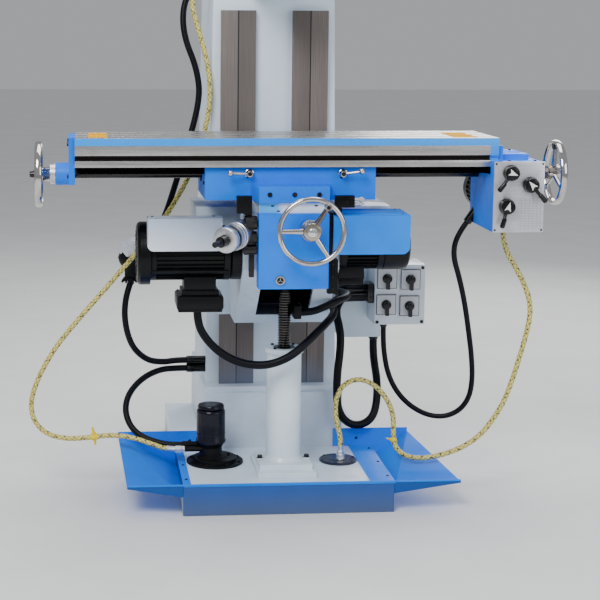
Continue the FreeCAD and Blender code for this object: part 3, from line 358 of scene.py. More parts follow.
def conduit_mat(name, pitch, depth, col=(0.0007, 0.0008, 0.0034)):
    """Black PVC-covered conduit: soft rings from the spiral inside, dust on the gloss."""
    m, nt, b = new_mat(name)
    t = nt.nodes.new("ShaderNodeTexCoord")
    sx = nt.nodes.new("ShaderNodeSeparateXYZ")
    nt.links.new(t.outputs["UV"], sx.inputs[0])
    a = math_n(nt, "ADD", math_n(nt, "DIVIDE", sx.outputs["X"], pitch), sx.outputs["Y"])
    wv = math_n(nt, "SINE", math_n(nt, "MULTIPLY", a, 2 * math.pi))
    n = noise_tex(nt, coords(nt), 25.0, 7.0, 0.65)
    c = ramp(nt, n, [(0.4, col), (0.8, (0.003, 0.0034, 0.007))])
    nt.links.new(c, b.inputs["Base Color"])
    nt.links.new(math_n(nt, "ADD", 0.22, math_n(nt, "MULTIPLY", n, 0.28)), b.inputs["Roughness"])
    b.inputs["Specular IOR Level"].default_value = 0.2
    bump(nt, b, wv, depth, 0.0006)
    return m


def panel_mat():
    """Motor cover: a painted sky reflection in pale blue-grey, paler low down on the left, like the photograph's sheet.
    """
    m, nt, b = new_mat("cover_painted_reflection")
    t = nt.nodes.new("ShaderNodeTexCoord")
    sx = nt.nodes.new("ShaderNodeSeparateXYZ")
    nt.links.new(t.outputs["Object"], sx.inputs[0])
    n = noise_tex(nt, coords(nt), 20.0, 6.0, 0.6)
    # painted reflection: the colour runs from pale at the lower left to dark blue-grey at the upper right
    f = math_n(nt, "ADD", math_n(nt, "MULTIPLY", math_n(nt, "ADD", sx.outputs["X"], 0.446), 1.3), math_n(nt, "MULTIPLY", math_n(nt, "SUBTRACT", sx.outputs["Z"], 0.838), 4.5))
    f = math_n(nt, "ADD", f, math_n(nt, "MULTIPLY", n, 0.12))
    nt.links.new(ramp(nt, f, [(0.1, (0.78, 0.83, 0.93)), (0.45, (0.50, 0.58, 0.72)), (0.8, (0.24, 0.30, 0.40))]), b.inputs["Base Color"])
    nt.links.new(math_n(nt, "ADD", 0.2, math_n(nt, "MULTIPLY", n, 0.2)), b.inputs["Roughness"])
    b.inputs["Coat Weight"].default_value = 0.25
    bump(nt, b, noise_tex(nt, coords(nt), 150.0, 3.0), 0.1, 0.0006)
    return m


def base_mat():
    """Base: white enamel above, blue on its front face; the blue is real paint, darkened as painted shade under the
    tray lip.
    """
    m, nt, b = new_mat("base_enamel")
    t = nt.nodes.new("ShaderNodeTexCoord")
    sx = nt.nodes.new("ShaderNodeSeparateXYZ")
    nt.links.new(t.outputs["Object"], sx.inputs[0])
    pt = noise_tex(nt, coords(nt), 9.0, 8.0, 0.7)
    white = ramp(nt, pt, [(0.3, (0.70, 0.82, 0.94)), (0.7, (0.77, 0.88, 0.99))])
    white = mixc(nt, ramp(nt, pt, [(0.56, g3(0)), (0.75, g3(0.3))]), white, (0.45, 0.46, 0.46))
    # blue paint on the front and sides, darkened well below the trays' blue as painted shade under the lip
    blue = ramp(nt, pt, [(0.3, (0.0, 0.065, 0.31)), (0.7, (0.0, 0.08, 0.38))])
    f = math_n(nt, "LESS_THAN", sx.outputs["Y"], -0.4905)
    side = math_n(nt, "MULTIPLY", math_n(nt, "GREATER_THAN", math_n(nt, "ABSOLUTE", sx.outputs["X"]), 0.334), math_n(nt, "LESS_THAN", sx.outputs["Y"], -0.073))
    f = math_n(nt, "MAXIMUM", f, math_n(nt, "MULTIPLY", side, math_n(nt, "GREATER_THAN", sx.outputs["Z"], 0.064)))
    # darker towards the bottom
    low = ramp(nt, sx.outputs["Z"], [(0.0, g3(0.6)), (0.08, g3(0.0))])
    nt.links.new(mixc(nt, low, mixc(nt, f, white, blue), (0.10, 0.12, 0.15)), b.inputs["Base Color"])
    nt.links.new(math_n(nt, "ADD", 0.25, math_n(nt, "MULTIPLY", pt, 0.3)), b.inputs["Roughness"])
    b.inputs["Coat Weight"].default_value = 0.15
    bump(nt, b, noise_tex(nt, coords(nt), 150.0, 3.0), 0.15, 0.0006)
    return m


def tray_mat():
    """Drip trays: folded sheet, blue, scuffed inside, with painted shade darkening the hanging front."""
    m, nt, b = new_mat("tray_enamel")
    t = nt.nodes.new("ShaderNodeTexCoord")
    sx = nt.nodes.new("ShaderNodeSeparateXYZ")
    nt.links.new(t.outputs["Object"], sx.inputs[0])
    big = noise_tex(nt, coords(nt), 4.0, 3.0)
    pt = noise_tex(nt, coords(nt), 13.0, 8.0, 0.7)
    blue = ramp(nt, big, [(0.3, (0.0, 0.165, 0.92)), (0.7, (0.0, 0.225, 1.0))])
    blue = mixc(nt, ramp(nt, pt, [(0.58, g3(0)), (0.8, g3(0.35))]), blue, (0.04, 0.16, 0.42))
    # painted shade: the hanging front below the lip is darker blue
    f = math_n(nt, "MULTIPLY", math_n(nt, "LESS_THAN", sx.outputs["Y"], -0.4935), math_n(nt, "LESS_THAN", sx.outputs["Z"], 0.0975))
    nt.links.new(mixc(nt, f, blue, (0.0, 0.075, 0.34)), b.inputs["Base Color"])
    nt.links.new(math_n(nt, "ADD", 0.28, math_n(nt, "MULTIPLY", pt, 0.35)), b.inputs["Roughness"])
    b.inputs["Specular IOR Level"].default_value = 0.3
    bump(nt, b, noise_tex(nt, coords(nt), 150.0, 3.0), 0.12, 0.0006)
    return m


TABLE = table_mat()
TRAYM = tray_mat()
PANEL_PAINTED_REFLECTION = panel_mat()
BASEM = base_mat()
COLUMN = column_mat()
PLATE = plate_mat()
HOSE = hose_mat()
CONDUIT = conduit_mat("conduit_smooth", 0.006, 0.25)
CONDUIT_R = conduit_mat("conduit_ribbed", 0.0055, 0.9)

# -------------------------------------------------------------- mesh building


def put(name, bm, mat, body, smooth=True, angle=32.0, replace=(), slot=None):
    me = bpy.data.meshes.new(name)
    bmesh.ops.recalc_face_normals(bm, faces=bm.faces)
    bm.to_mesh(me)
    bm.free()
    mats = mat if isinstance(mat, (list, tuple)) else [mat]
    for m in mats:
        me.materials.append(m)
    ob = bpy.data.objects.new(name, me)
    scene.collection.objects.link(ob)
    if smooth:
        for p in me.polygons:
            p.use_smooth = True
        me.set_sharp_from_angle(angle=math.radians(angle))
    if body:
        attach(ob, body)
    if replace:
        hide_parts(*([replace] if isinstance(replace, str) else replace))
        slot = slot or SLOT[replace if isinstance(replace, str) else replace[0]]
    return ob


def refine(node, mat, width=1.5, segs=2, angle=30.0, pick=None, name=None):
    """A cleaned copy of the node's mesh with its sharp edges rounded; pick(face) chooses a material index."""
    bm = bmesh.new()
    bm.from_mesh(NODES[node].data)
    bmesh.ops.remove_doubles(bm, verts=bm.verts, dist=2e-5)
    bmesh.ops.dissolve_degenerate(bm, dist=2e-5, edges=bm.edges)
    bmesh.ops.dissolve_limit(bm, angle_limit=math.radians(0.6), verts=bm.verts, edges=bm.edges, delimit=set())
    if width:
        es = [e for e in bm.edges if len(e.link_faces) == 2 and e.calc_face_angle(0) > math.radians(angle)]
        bmesh.ops.bevel(bm, geom=es, offset=width * MM, offset_type="OFFSET", segments=segs, profile=0.6,
                        affect="EDGES", clamp_overlap=True, harden_normals=False)
    if pick:
        for f in bm.faces:
            f.material_index = pick(f)
    return put(name or node + "_piece", bm, mat, BODY[node], replace=node, angle=28.0)


class Kit:
    """Gathers small shapes into one mesh."""

    def __init__(self):
        self.bm = bmesh.new()
        self.mi = 0

    def _tag(self, before):
        for f in self.bm.faces:
            if f not in before:
                f.material_index = self.mi

    def lathe(self, base, axis, prof, seg=40, close=True):
        """Revolve prof [(t, r), ...] about the line from base along axis, mm."""
        base, a = Vector(base) * MM, Vector(axis).normalized()
        u = a.orthogonal().normalized()
        w = a.cross(u)
        rings = []
        for t, r in prof:
            c = base + a * (t * MM)
            if r <= 1e-6:
                rings.append([self.bm.verts.new(c)])
            else:
                rings.append([self.bm.verts.new(c + (u * math.cos(k * 2 * math.pi / seg) + w * math.sin(k * 2 * math.pi / seg)) * (r * MM)) for k in range(seg)])
        fs = []
        for p, q in zip(rings, rings[1:]):
            for k in range(seg):
                k2 = (k + 1) % seg
                vs = []
                for v in ((p[k % len(p)], p[k2 % len(p)], q[k2 % len(q)], q[k % len(q)])):
                    if v not in vs:
                        vs.append(v)
                if len(vs) > 2:
                    fs.append(self.bm.faces.new(vs))
        if close:
            for rg in (rings[0], rings[-1]):
                if len(rg) > 2:
                    fs.append(self.bm.faces.new(rg))
        for f in fs:
            f.material_index = self.mi
        return self

    def rod(self, p0, p1, r, r2=None, seg=24, ch=0.6):
        d = (Vector(p1) - Vector(p0)).length
        r2 = r if r2 is None else r2
        ch = min(ch, r * 0.4, r2 * 0.4, d * 0.3)
        return self.lathe(p0, Vector(p1) - Vector(p0), [(0, r - ch), (ch, r), (d - ch, r2), (d, r2 - ch)], seg)

    def box(self, lo, hi, ch=1.0, rot=None, at=None):
        lo, hi = Vector(lo), Vector(hi)
        c, s = (lo + hi) / 2, (hi - lo)
        before = set(self.bm.faces)
        g = bmesh.ops.create_cube(self.bm, size=1.0)
        M = Matrix.Translation((at if at is not None else c) * MM) @ (rot.to_4x4() if rot is not None else Matrix.Identity(4)) @ Matrix.Diagonal((*(s * MM), 1))
        bmesh.ops.transform(self.bm, matrix=M, verts=g["verts"])
        es = list({e for v in g["verts"] for e in v.link_edges})
        if ch > 0:
            bmesh.ops.bevel(self.bm, geom=es, offset=min(ch, min(s) * 0.3) * MM, segments=2, profile=0.6, affect="EDGES")
        self._tag(before)
        return self

    def torus(self, centre, axis, R, r, seg=96, sub=20, squash=1.0):
        c, a = Vector(centre) * MM, Vector(axis).normalized()
        u = a.orthogonal().normalized()
        w = a.cross(u)
        rings = []
        for i in range(seg):
            t = i * 2 * math.pi / seg
            d = u * math.cos(t) + w * math.sin(t)
            rings.append([self.bm.verts.new(c + d * ((R + r * math.cos(k * 2 * math.pi / sub)) * MM) + a * (r * squash * math.sin(k * 2 * math.pi / sub) * MM)) for k in range(sub)])
        for i in range(seg):
            p, q = rings[i], rings[(i + 1) % seg]
            for k in range(sub):
                f = self.bm.faces.new((p[k], p[(k + 1) % sub], q[(k + 1) % sub], q[k]))
                f.material_index = self.mi
        return self

    def bolt(self, pos, axis, r=6.0, h=4.0, kind="hex"):
        """Head standing on pos along axis: hex, socket (with a recess) or slot."""
        a = Vector(axis).normalized()
        if kind == "hex":
            self.lathe(pos, a, [(0, r * 1.02), (h * 0.8, r * 1.02), (h, r * 0.88)], 6)
            self.lathe(pos, a, [(0, r * 1.35), (0.9, r * 1.35), (1.0, r * 1.3)], 24)
        elif kind == "socket":
            self.lathe(pos, a, [(0, r), (h - 0.6, r), (h, r - 0.6), (h, r * 0.52), (h * 0.4, r * 0.5), (h * 0.4, 0)], 24, close=False)
        else:
            self.lathe(pos, a, [(0, r), (h * 0.4, r), (h * 0.85, r * 0.75), (h, r * 0.3), (h, 0)], 20)
        return self

    def done(self, name, mat, body, replace=(), slot=None, angle=32.0):
        return put(name, self.bm, mat, body, replace=replace, slot=slot, angle=angle)


def rotz(deg, axis="Y"):
    return Matrix.Rotation(math.radians(deg), 3, axis)

# ---------------------------------------------------------------------- camera
cam_data = bpy.data.cameras.new("camera")
cam = bpy.data.objects.new("camera", cam_data)
scene.collection.objects.link(cam)
cam_data.sensor_width = 36.0
cam_data.lens = 1544.67 * 36.0 / 600.0
cam_data.shift_x, cam_data.shift_y = 0.15, -0.12
cam_data.clip_start, cam_data.clip_end = 0.05, 60
CY, CP, CR = -0.0837, -0.1330, 0.0050
fwd = Vector((-math.sin(CY) * math.cos(CP), math.cos(CY) * math.cos(CP), math.sin(CP)))
right = Vector((math.cos(CY), math.sin(CY), 0.0))
up = right.cross(fwd)
r2 = right * math.cos(CR) + up * math.sin(CR)
u2 = -right * math.sin(CR) + up * math.cos(CR)
cam.matrix_world = Matrix(((r2.x, u2.x, -fwd.x, -0.6464), (r2.y, u2.y, -fwd.y, -5.1582), (r2.z, u2.z, -fwd.z, 1.5376), (0, 0, 0, 1)))
scene.camera = cam

# ----------------------------------------------------------------------- cords
# Route points in millimetres, the same as the design's.
ROUTES = {
    "conduit_head": (21.0, [
        (-142, 110, 1690), (-201.585, 110, 1690), (-257, 106, 1662), (-300, 99, 1600), (-301, 85, 1493), (-252, 72, 1372), (-244, 62, 1262),
        (-319, 49, 1019), (-364, 34, 878), (-422, 9, 767), (-482, -20, 679), (-509, -38, 572), (-488, -33, 457), (-432, -1, 393),
        (-371, 32, 377), (-325.689, 45, 381), (-288, 45, 381),
    ]),
    "conduit_pump": (21.0, [
        (-288, 45, 353), (-329.741, 45, 353), (-381, 27, 353), (-439, -11, 336), (-487, -57, 299), (-506, -101, 255), (-495, -141, 209),
        (-461, -176, 177), (-410, -202, 161), (-360.722, -215, 153), (-322, -215, 153),
    ]),
    "cable_lift_motor": (26.0, [
        (-286, -400, 646), (-286, -400, 601.347), (-264, -407, 554), (-222, -416, 510), (-170, -424, 480), (-114, -430, 466), (-56, -432, 468),
        (4, -428, 490), (62, -404, 530), (119, -357, 572), (169, -296, 602), (171, -212, 618), (201, -124, 619), (251.812, -88, 618),
        (311, -88, 618),
    ]),
    "cable_knee": (24.0, [
        (50, -345, 618), (84.353, -345, 618), (129, -343, 635), (174, -326, 652), (210, -286, 657), (219, -234, 658), (185, -149, 654),
        (210, -82, 650), (256.254, -50, 648), (311, -50, 648),
    ]),
    "conduit_cabinet": (27.0, [
        (308, -5, 618), (270.483, -5, 618), (236, -15, 601), (212, -38, 562), (226, -73, 499), (222, -96, 438), (212, -108, 372),
        (209, -112, 306), (213, -114, 244), (235, -111, 200), (272, -104, 179), (314, -94, 183), (345, -80, 209), (359, -57, 262),
        (363, -27, 318), (363, 23, 362), (362, 50, 404.058), (362, 50, 446),
    ]),
    "cable_table": (18.0, [
        (375, -60, 511), (375, -60, 467.563), (380, -62, 411), (392, -66, 350), (420, -74, 290), (464, -84, 242), (520, -97, 211),
        (577, -114, 206), (627, -132, 231), (657, -147, 281), (663, -158, 350), (655, -168, 430), (639, -181, 519), (620, -199, 610),
        (594, -222, 701), (563, -244, 785), (574.166, -250, 850.554), (606, -250, 893),
    ]),
    "coolant_hose": (16.5, [
        (-334, -245, 147), (-370.951, -245, 147), (-422, -233, 163), (-484, -209, 180), (-552, -187, 184), (-623, -176, 173), (-697, -173, 168),
        (-765, -170, 184), (-809, -166, 230), (-818, -159, 293), (-793, -150, 369), (-750, -141, 446), (-703, -131, 511), (-486, -81, 749),
        (-385, -61, 865), (-307, -24, 981), (-255, -6, 1092), (-228, 2, 1191), (-213, 5, 1281), (-219, 10, 1379), (-245, 28, 1487),
        (-280, 50, 1598), (-251, 57, 1667), (-199.626, 60, 1700), (-142, 60, 1700),
    ]),
    "drain_hose": (16.5, [
        (201.6, -249, 150), (201.6, -249, 179.795), (191, -238, 220), (186, -217, 269), (199, -199, 322), (236, -184, 353), (285, -174, 357),
        (329, -173, 334), (363, -179, 296), (384, -188, 254), (387, -206, 215), (380, -236, 179), (378, -278, 150), (401, -321, 132),
        (450, -348, 130), (513, -357, 143), (580, -356, 165), (641, -352, 203), (688, -350, 261), (732, -348, 339), (792, -340, 542),
        (805, -335, 633), (770, -332, 724), (703, -330, 826.217), (703, -330, 893),
    ]),
}


def spline_points(pts, res=10):
    cu = bpy.data.curves.new("route", "CURVE")
    cu.dimensions = "3D"
    sp = cu.splines.new("NURBS")
    sp.points.add(len(pts) - 1)
    for p, q in zip(sp.points, pts):
        p.co = (q[0] * MM, q[1] * MM, q[2] * MM, 1)
    sp.order_u = 3
    sp.use_endpoint_u = True
    cu.resolution_u = res
    ob = bpy.data.objects.new("route", cu)
    scene.collection.objects.link(ob)
    me = bpy.data.meshes.new_from_object(ob)
    out = [v.co.copy() for v in me.vertices]
    bpy.data.objects.remove(ob)
    bpy.data.meshes.remove(me)
    return out


def tube_mesh(name, path, dia, mat, seg=20, ribs=None, cap=True):
    """Tube along path with UVs: metres along, turns round. ribs = (pitch, depth) in metres."""
    bm = bmesh.new()
    uvl = bm.loops.layers.uv.new("UVMap")
    P = path
    n = len(P)
    T = [(P[min(i + 1, n - 1)] - P[max(i - 1, 0)]).normalized() for i in range(n)]
    N = T[0].orthogonal().normalized()
    rings, s, along = [], 0.0, []
    for i in range(n):
        if i:
            s += (P[i] - P[i - 1]).length
            ax = T[i - 1].cross(T[i])
            if ax.length > 1e-8:
                N = Matrix.Rotation(T[i - 1].angle(T[i]), 3, ax.normalized()) @ N
        N = (N - T[i] * N.dot(T[i])).normalized()
        B = T[i].cross(N)
        r = dia / 2
        if ribs:
            r += ribs[1] * (0.5 * math.cos(2 * math.pi * s / ribs[0]) - 0.5)
        rings.append([bm.verts.new(P[i] + (N * math.cos(2 * math.pi * k / seg) + B * math.sin(2 * math.pi * k / seg)) * r) for k in range(seg)])
        along.append(s)
    for i in range(n - 1):
        for k in range(seg):
            f = bm.faces.new((rings[i][k], rings[i][(k + 1) % seg], rings[i + 1][(k + 1) % seg], rings[i + 1][k]))
            uv = [(along[i], k / seg), (along[i], (k + 1) / seg), (along[i + 1], (k + 1) / seg), (along[i + 1], k / seg)]
            for l, c in zip(f.loops, uv):
                l[uvl].uv = c
    if cap:
        bm.faces.new(rings[0][::-1])
        bm.faces.new(rings[-1])
    return put(name, bm, mat, None, angle=60)


def resample(path, step):
    """Even stations read along the spline's own points."""
    out, acc = [path[0].copy()], 0.0
    for a, b in zip(path, path[1:]):
        d = (b - a).length
        while acc + d >= step:
            t = (step - acc) / d
            a = a.lerp(b, t)
            out.append(a.copy())
            d = (b - a).length
            acc = 0.0
        acc += d
    if (out[-1] - path[-1]).length > step * 0.3:
        out.append(path[-1].copy())
    else:
        out[-1] = path[-1].copy()
    return out


CORDS = {}
for nm, (dia, pts) in ROUTES.items():
    CORDS[nm] = (dia * MM, resample(spline_points(pts, 14), 0.004 if dia < 17 or dia == 18 else 0.005))


def declare(ob, node, a, b=None):
    if b is None:
        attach(ob, a)
    else:
        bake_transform(ob)
    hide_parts(node)


for nm, mat in (("conduit_head", CONDUIT), ("conduit_pump", CONDUIT), ("conduit_cabinet", CONDUIT), ("coolant_hose", HOSE)):
    dia, path = CORDS[nm]
    o = tube_mesh(nm + "_run", path, dia, mat)
    declare(o, nm, "frame")
for nm in ("cable_lift_motor", "cable_knee"):
    dia, path = CORDS[nm]
    o = tube_mesh(nm + "_run", path, dia, CONDUIT)
    declare(o, nm, "knee", "frame")


def split_cord(nm, mat, cutx, cutz, spans):
    """Three lengths of one cord, each spanning one joint."""
    dia, path = CORDS[nm]
    low = min(range(len(path)), key=lambda i: path[i].z if path[i].x > 0.45 else 9)
    i1 = next(i for i in range(len(path)) if path[i].x > cutx and path[i].y < 0 and i > low * 0.5)
    i2 = next(i for i in range(i1, len(path)) if path[i].z > cutz)
    secs = [path[:i1 + 1], path[i1:i2 + 1], path[i2:]]
    prs = [("frame", "knee"), ("knee", "saddle"), ("saddle", "table")]
    for k, (sec, pr, sp) in enumerate(zip(secs, prs, spans)):
        o = tube_mesh("%s_run_%d" % (nm, k + 1), sec, dia, mat)
        declare(o, nm, pr[0], pr[1])


split_cord("cable_table", CONDUIT, 0.61, 0.46, [((0.42, 0, 0), (0.60, 0, 0)), ((0, 0, 0.25), (0, 0, 0.44)), ((0, 0, 0.47), (0, 0, 0.84))])
split_cord("drain_hose", HOSE, 0.66, 0.42, [((0.46, 0, 0), (0.64, 0, 0)), ((0, 0, 0.24), (0, 0, 0.41)), ((0, 0, 0.44), (0, 0, 0.82))])


def tie(name, cordname, frac, body, mat, tail=18.0, tail_dir=(0, 0, 1), fat=1.0, both=False):
    """A cable tie: band, lock and cut tail, round the cord."""
    dia, path = CORDS[cordname]
    i = int(frac * (len(path) - 1))
    c, d = path[i] / MM, (path[min(i + 2, len(path) - 1)] - path[max(i - 2, 0)]).normalized()
    k = Kit()
    r = dia / MM / 2
    w_ = 2.4 * fat
    k.lathe(c - d * w_, d, [(0, r - 0.4), (0, r + 1.2), (0.6, r + 1.9), (w_ * 2 - 0.6, r + 1.9), (w_ * 2, r + 1.2), (w_ * 2, r - 0.4)], 40, close=False)
    t = Vector(tail_dir).normalized()
    t = (t - d * t.dot(d)).normalized()
    k.rod(c + t * (r - 0.5), c + t * (r + 7), 3.0 + fat, 2.8 + fat, 12)
    k.rod(c + t * (r + 5), c + t * (r + 5 + tail) + d * 3, 1.5 + fat * 0.7, 1.2 + fat * 0.5, 8)
    if both:
        k.rod(c - t * (r - 0.5), c - t * (r + tail) + d * 1, 1.5 + fat * 0.7, 1.2 + fat * 0.5, 8)
    return k.done(name, mat, body, slot="hose_braid")


tie("tie_drain_hose", "drain_hose", 0.334, "frame", TIE, 19, (-1, -0.4, 0.5), 3.0)
tie("tie_coolant_hose", "coolant_hose", 0.128, "frame", TIE, 20, (0, -0.1, 1), 5.0, True)

# rubber boot on the head conduit, with the film left on it
k = Kit()
bo = Vector((-482, -20, 671))
ba = Vector((-474, -10, 786)) - bo
k.lathe(bo, ba, [(0, 13), (0, 26), (2, 28), (8, 27), (12, 22), (30, 23), (44, 31), (58, 42), (74, 48), (96, 46), (112, 38), (113, 12)], 56)
for i in range(14):
    a = i * 2 * math.pi / 14
    k.rod(bo + Vector((25 * math.cos(a), 25 * math.sin(a), 4)), bo + Vector(((28 + 3 * (i % 3)) * math.cos(a), (28 + 3 * (i % 3)) * math.sin(a), -4 - 2 * (i % 2))), 4.5, 2.5, 8)
k.done("conduit_boot", BLACKC, "frame", slot="black_plastic")
FILM = paint("clear_film", (0.70, 0.76, 0.84), 0.22, 0.2, (0.45, 0.5, 0.56), peel=0.6, coat=0.3)
bm = bmesh.new()
bmesh.ops.create_icosphere(bm, subdivisions=5, radius=1.0)
for v in bm.verts:
    p = v.co.copy()
    w_ = 0.030 * math.sin(9 * p.x + 4 * p.z) + 0.026 * math.sin(13 * p.y - 7 * p.z + 1.3) + 0.018 * math.sin(21 * p.x + 17 * p.y)
    p = p * (1 + w_)
    v.co = Vector((p.x * 0.049 - 0.4745, p.y * 0.048 - 0.0125, max(p.z, -0.3 + w_ * 3) * 0.047 + 0.768))
put("conduit_boot_film", bm, FILM, "frame", angle=50, slot="black_plastic")

# --------------------------------------------------------- base, column, trays
refine("base_casting", BASEM, 6.0, 3)
refine("column_casting", COLUMN, 1.2, 2)
refine("drip_tray_left", TRAYM, 0.9, 2)
refine("drip_tray_right", TRAYM, 0.9, 2)
k = Kit()
for x, y in ((-322, -440), (-322, -280), (-322, -120), (322, -440), (322, -280), (322, -120)):
    k.bolt((x, y, 103.1), (0, 0, 1), 4.5, 3.0, "slot")
for x in (285, -285):
    k.bolt((x, -75.1, 128), (0, -1, 0), 4.5, 3.0, "slot")
k.done("tray_screws", DARKST, "frame", slot="dark_steel")
# front lip of the trays and base: a real rim, whose brighter blue also stands in for a painted highlight along the top
# edge
k = Kit()
k.box((-510, -497.2, 98.5), (546, -495.1, 103.6), 0.9)
k.box((-334, -495.1, 94), (337, -492.2, 103.5), 0.8)
k.done("tray_front_lip_highlight", COVERB, "frame", slot="blue_paint")
refine("lift_pedestal", WHITE, 2.5, 3)
refine("lift_nut", THREAD_OILED_AND_SHADE, 1.2)
k = Kit()
for x, y in ((-76, -330), (76, -330)):
    k.mi = 1
    k.lathe((x, y, 136.1), (0, 0, 1), [(0, 11.5), (1.6, 11.5), (2.2, 11.0), (2.2, 4)], 28)
    k.mi = 0
    k.bolt((x, y, 138.0), (0, 0, 1), 8.0, 9.8, "hex")
k.done("pedestal_bolt_heads", [DARKST, WHITE], "frame", replace="pedestal_bolts")
k = Kit()
for a in range(4):
    c, s = math.cos(math.radians(45 + 90 * a)), math.sin(math.radians(45 + 90 * a))
    k.bolt((48 * c, -325 + 48 * s, 502.1), (0, 0, 1), 5, 5, "socket")
k.done("pedestal_flange_screws", DARKST, "frame", slot="dark_steel")

# -------------------------------------------------------------- elevating screw
k = Kit()
zs, prof = 165.0, [(0.0, 12.0), (0.5, 17.6)]
t = 3.0
# thread: the core between the crest rings is dark as painted shade in the grooves, and the crests take the lighter copy
while t < 692 - 165 - 8:
    k.mi = 1
    k.lathe((0, -325, zs + t), (0, 0, 1), [(0, 17.0), (1.5, 20.9), (3.6, 20.9), (5.1, 17.0)], 40, close=False)
    t += 8.2
k.mi = 0
prof += [(527.0, 17.6), (527.5, 13.0), (640.0, 13.0), (640.0, 25.0), (643.0, 44.0), (656.0, 38.0), (667.0, 24.0), (667.0, 13.0), (714.0, 13.0), (715.0, 12.0)]
k.lathe((0, -325, zs), (0, 0, 1), prof, 48)
k.done("elevating_screw_thread", [THREAD_OILED_AND_SHADE, THREAD_CREST_LIT], "lift_screw", replace="elevating_screw")

# black sheets inside the knee's cavity as painted shade, seen from the front and from below
k = Kit()
for i in range(16):
    y0 = -466 + i * 25.3
    low = max(596.0, 782 - (y0 + 470) * 217 / 257) + 2
    for x in (-84.9, 84.0):
        k.box((x, y0, low), (x + 0.9, y0 + 25.4, 839), 0.1)
k.box((-84, -466, 838.6), (84, -61, 839.8), 0.2)
k.box((-84, -61.2, 597), (84, -60.1, 838), 0.2)
k.done("knee_cavity_shade_sheets", BLACKC, "knee", slot="black_plastic")

# ------------------------------------------------------------------- coolant pump
k = Kit()
k.lathe((-227, -232, 166), (0, 0, 1), [(0, 40), (0, 47), (5, 49.5), (10, 49.5), (14, 47.2), (96, 47.2), (104, 47.2), (109, 46), (112, 43), (113, 38)], 72)
k.lathe((-227, -232, 166), (0, 0, 1), [(30, 47), (30.5, 47.9), (33, 47.9), (33.5, 47)], 72, close=False)
for i in range(4):
    a = math.radians(45 + 90 * i)
    k.rod((-227 + 46.2 * math.cos(a), -232 + 46.2 * math.sin(a), 182), (-227 + 46.2 * math.cos(a), -232 + 46.2 * math.sin(a), 270), 3.2, 3.0, 16)
k.lathe((-227, -232, 282), (0, 0, 1), [(-4, 38), (-1, 42), (1, 43.5), (7, 43.5), (11, 41), (12.6, 30), (12.0, 11), (11.0, 0)], 64)
k.done("pump_motor_piece", NAVYB, "frame", replace="pump_motor")
k = Kit()
k.lathe((-214, -235, 100), (0, 0, 1), [(0, 92), (1, 93), (7, 93), (8, 91.5), (8, 74), (9, 73), (17, 72.5), (19, 70), (19, 0)], 96)
k.lathe((-227, -232, 118), (0, 0, 1), [(0, 52), (4, 47), (10, 38), (34, 36), (40, 40), (48, 44)], 64)
for i in range(8):
    a = math.radians(22.5 + 45 * i)
    k.bolt((-214 + 83 * math.cos(a), -235 + 83 * math.sin(a), 108), (0, 0, 1), 5, 4.2, "hex")
for i in range(4):
    a = math.radians(10 + 90 * i)
    k.bolt((-227 + 60 * math.cos(a), -232 + 60 * math.sin(a), 119), (0, 0, 1), 5, 4.5, "socket")
k.rod((-322, -215, 153), (-304, -215, 153), 12.5, None, 24, 1.5)
k.lathe((-304, -215, 153), (1, 0, 0), [(0, 14.5), (9, 14.5), (10, 13), (44, 12)], 6)
k.done("pump_flange_piece", BLACKC, "frame", replace="pump_flange")
k = Kit()
NUTM = metal("plated_nut_steel", (0.88, 0.89, 0.90), 0.75, (8, 8, 8), 0.3, 9.0, 0.08)
hp = CORDS["coolant_hose"][1]
i0 = next(i for i in range(len(hp)) if (hp[i] - hp[0]).length > 0.036)
e0, e1 = hp[i0] / MM, hp[2] / MM
k.lathe(e0, e1 - e0, [(0, 9.3), (1, 10.2), (7, 10.0), (8, 9.4), (14, 9.9), (15, 9.4), (21, 9.9), (22, 9.2), (30, 9.2)], 40)
k.lathe((-346, -245, 147), (1, 0, 0), [(0, 11.5), (1.5, 13.0), (20, 13.0), (21.5, 11.5)], 6)
k.lathe((-324, -245, 147), (1, 0, 0), [(0, 10.5), (1, 11.5), (9, 11.5), (10, 10.5)], 6)
k.mi = 1
k.lathe((-316, -245, 147), (1, 0, 0), [(0, 8.5), (62, 8.5)], 32)
k.done("pump_hose_fitting", [NUTM, BLACKC], "frame", slot="machined_steel")
k = Kit()
k.lathe((193.5, -249, 100), (0, 0, 1), [(0, 61), (1, 62), (6, 62), (8, 59), (8, 52), (7, 51), (7, 30), (8.5, 28), (8.5, 0)], 80)
for i in range(6):
    a = math.radians(15 + 60 * i)
    k.bolt((193.5 + 56 * math.cos(a), -249 + 56 * math.sin(a), 108), (0, 0, 1), 3.6, 2.5, "slot")
for i in range(12):
    a = math.radians(30 * i)
    k.lathe((193.5 + 40 * math.cos(a), -249 + 40 * math.sin(a), 107.1), (0, 0, 1), [(0, 4), (0.6, 3.6), (0.6, 0)], 12)
k.done("drain_strainer_piece", NAVY, "frame", replace="drain_strainer")
k = Kit()
k.lathe((201.6, -249, 108), (0, 0, 1), [(0, 15), (2, 14), (14, 14)], 32)
k.lathe((201.6, -249, 121), (0, 0, 1), [(0, 11), (1, 12), (12, 12), (13, 11)], 6)
k.lathe((201.6, -249, 134), (0, 0, 1), [(0, 8), (12, 8), (13, 9.3), (17, 9.3), (17, 8.4)], 32)
k.done("drain_fitting", NUTM, "frame", slot="bronze")

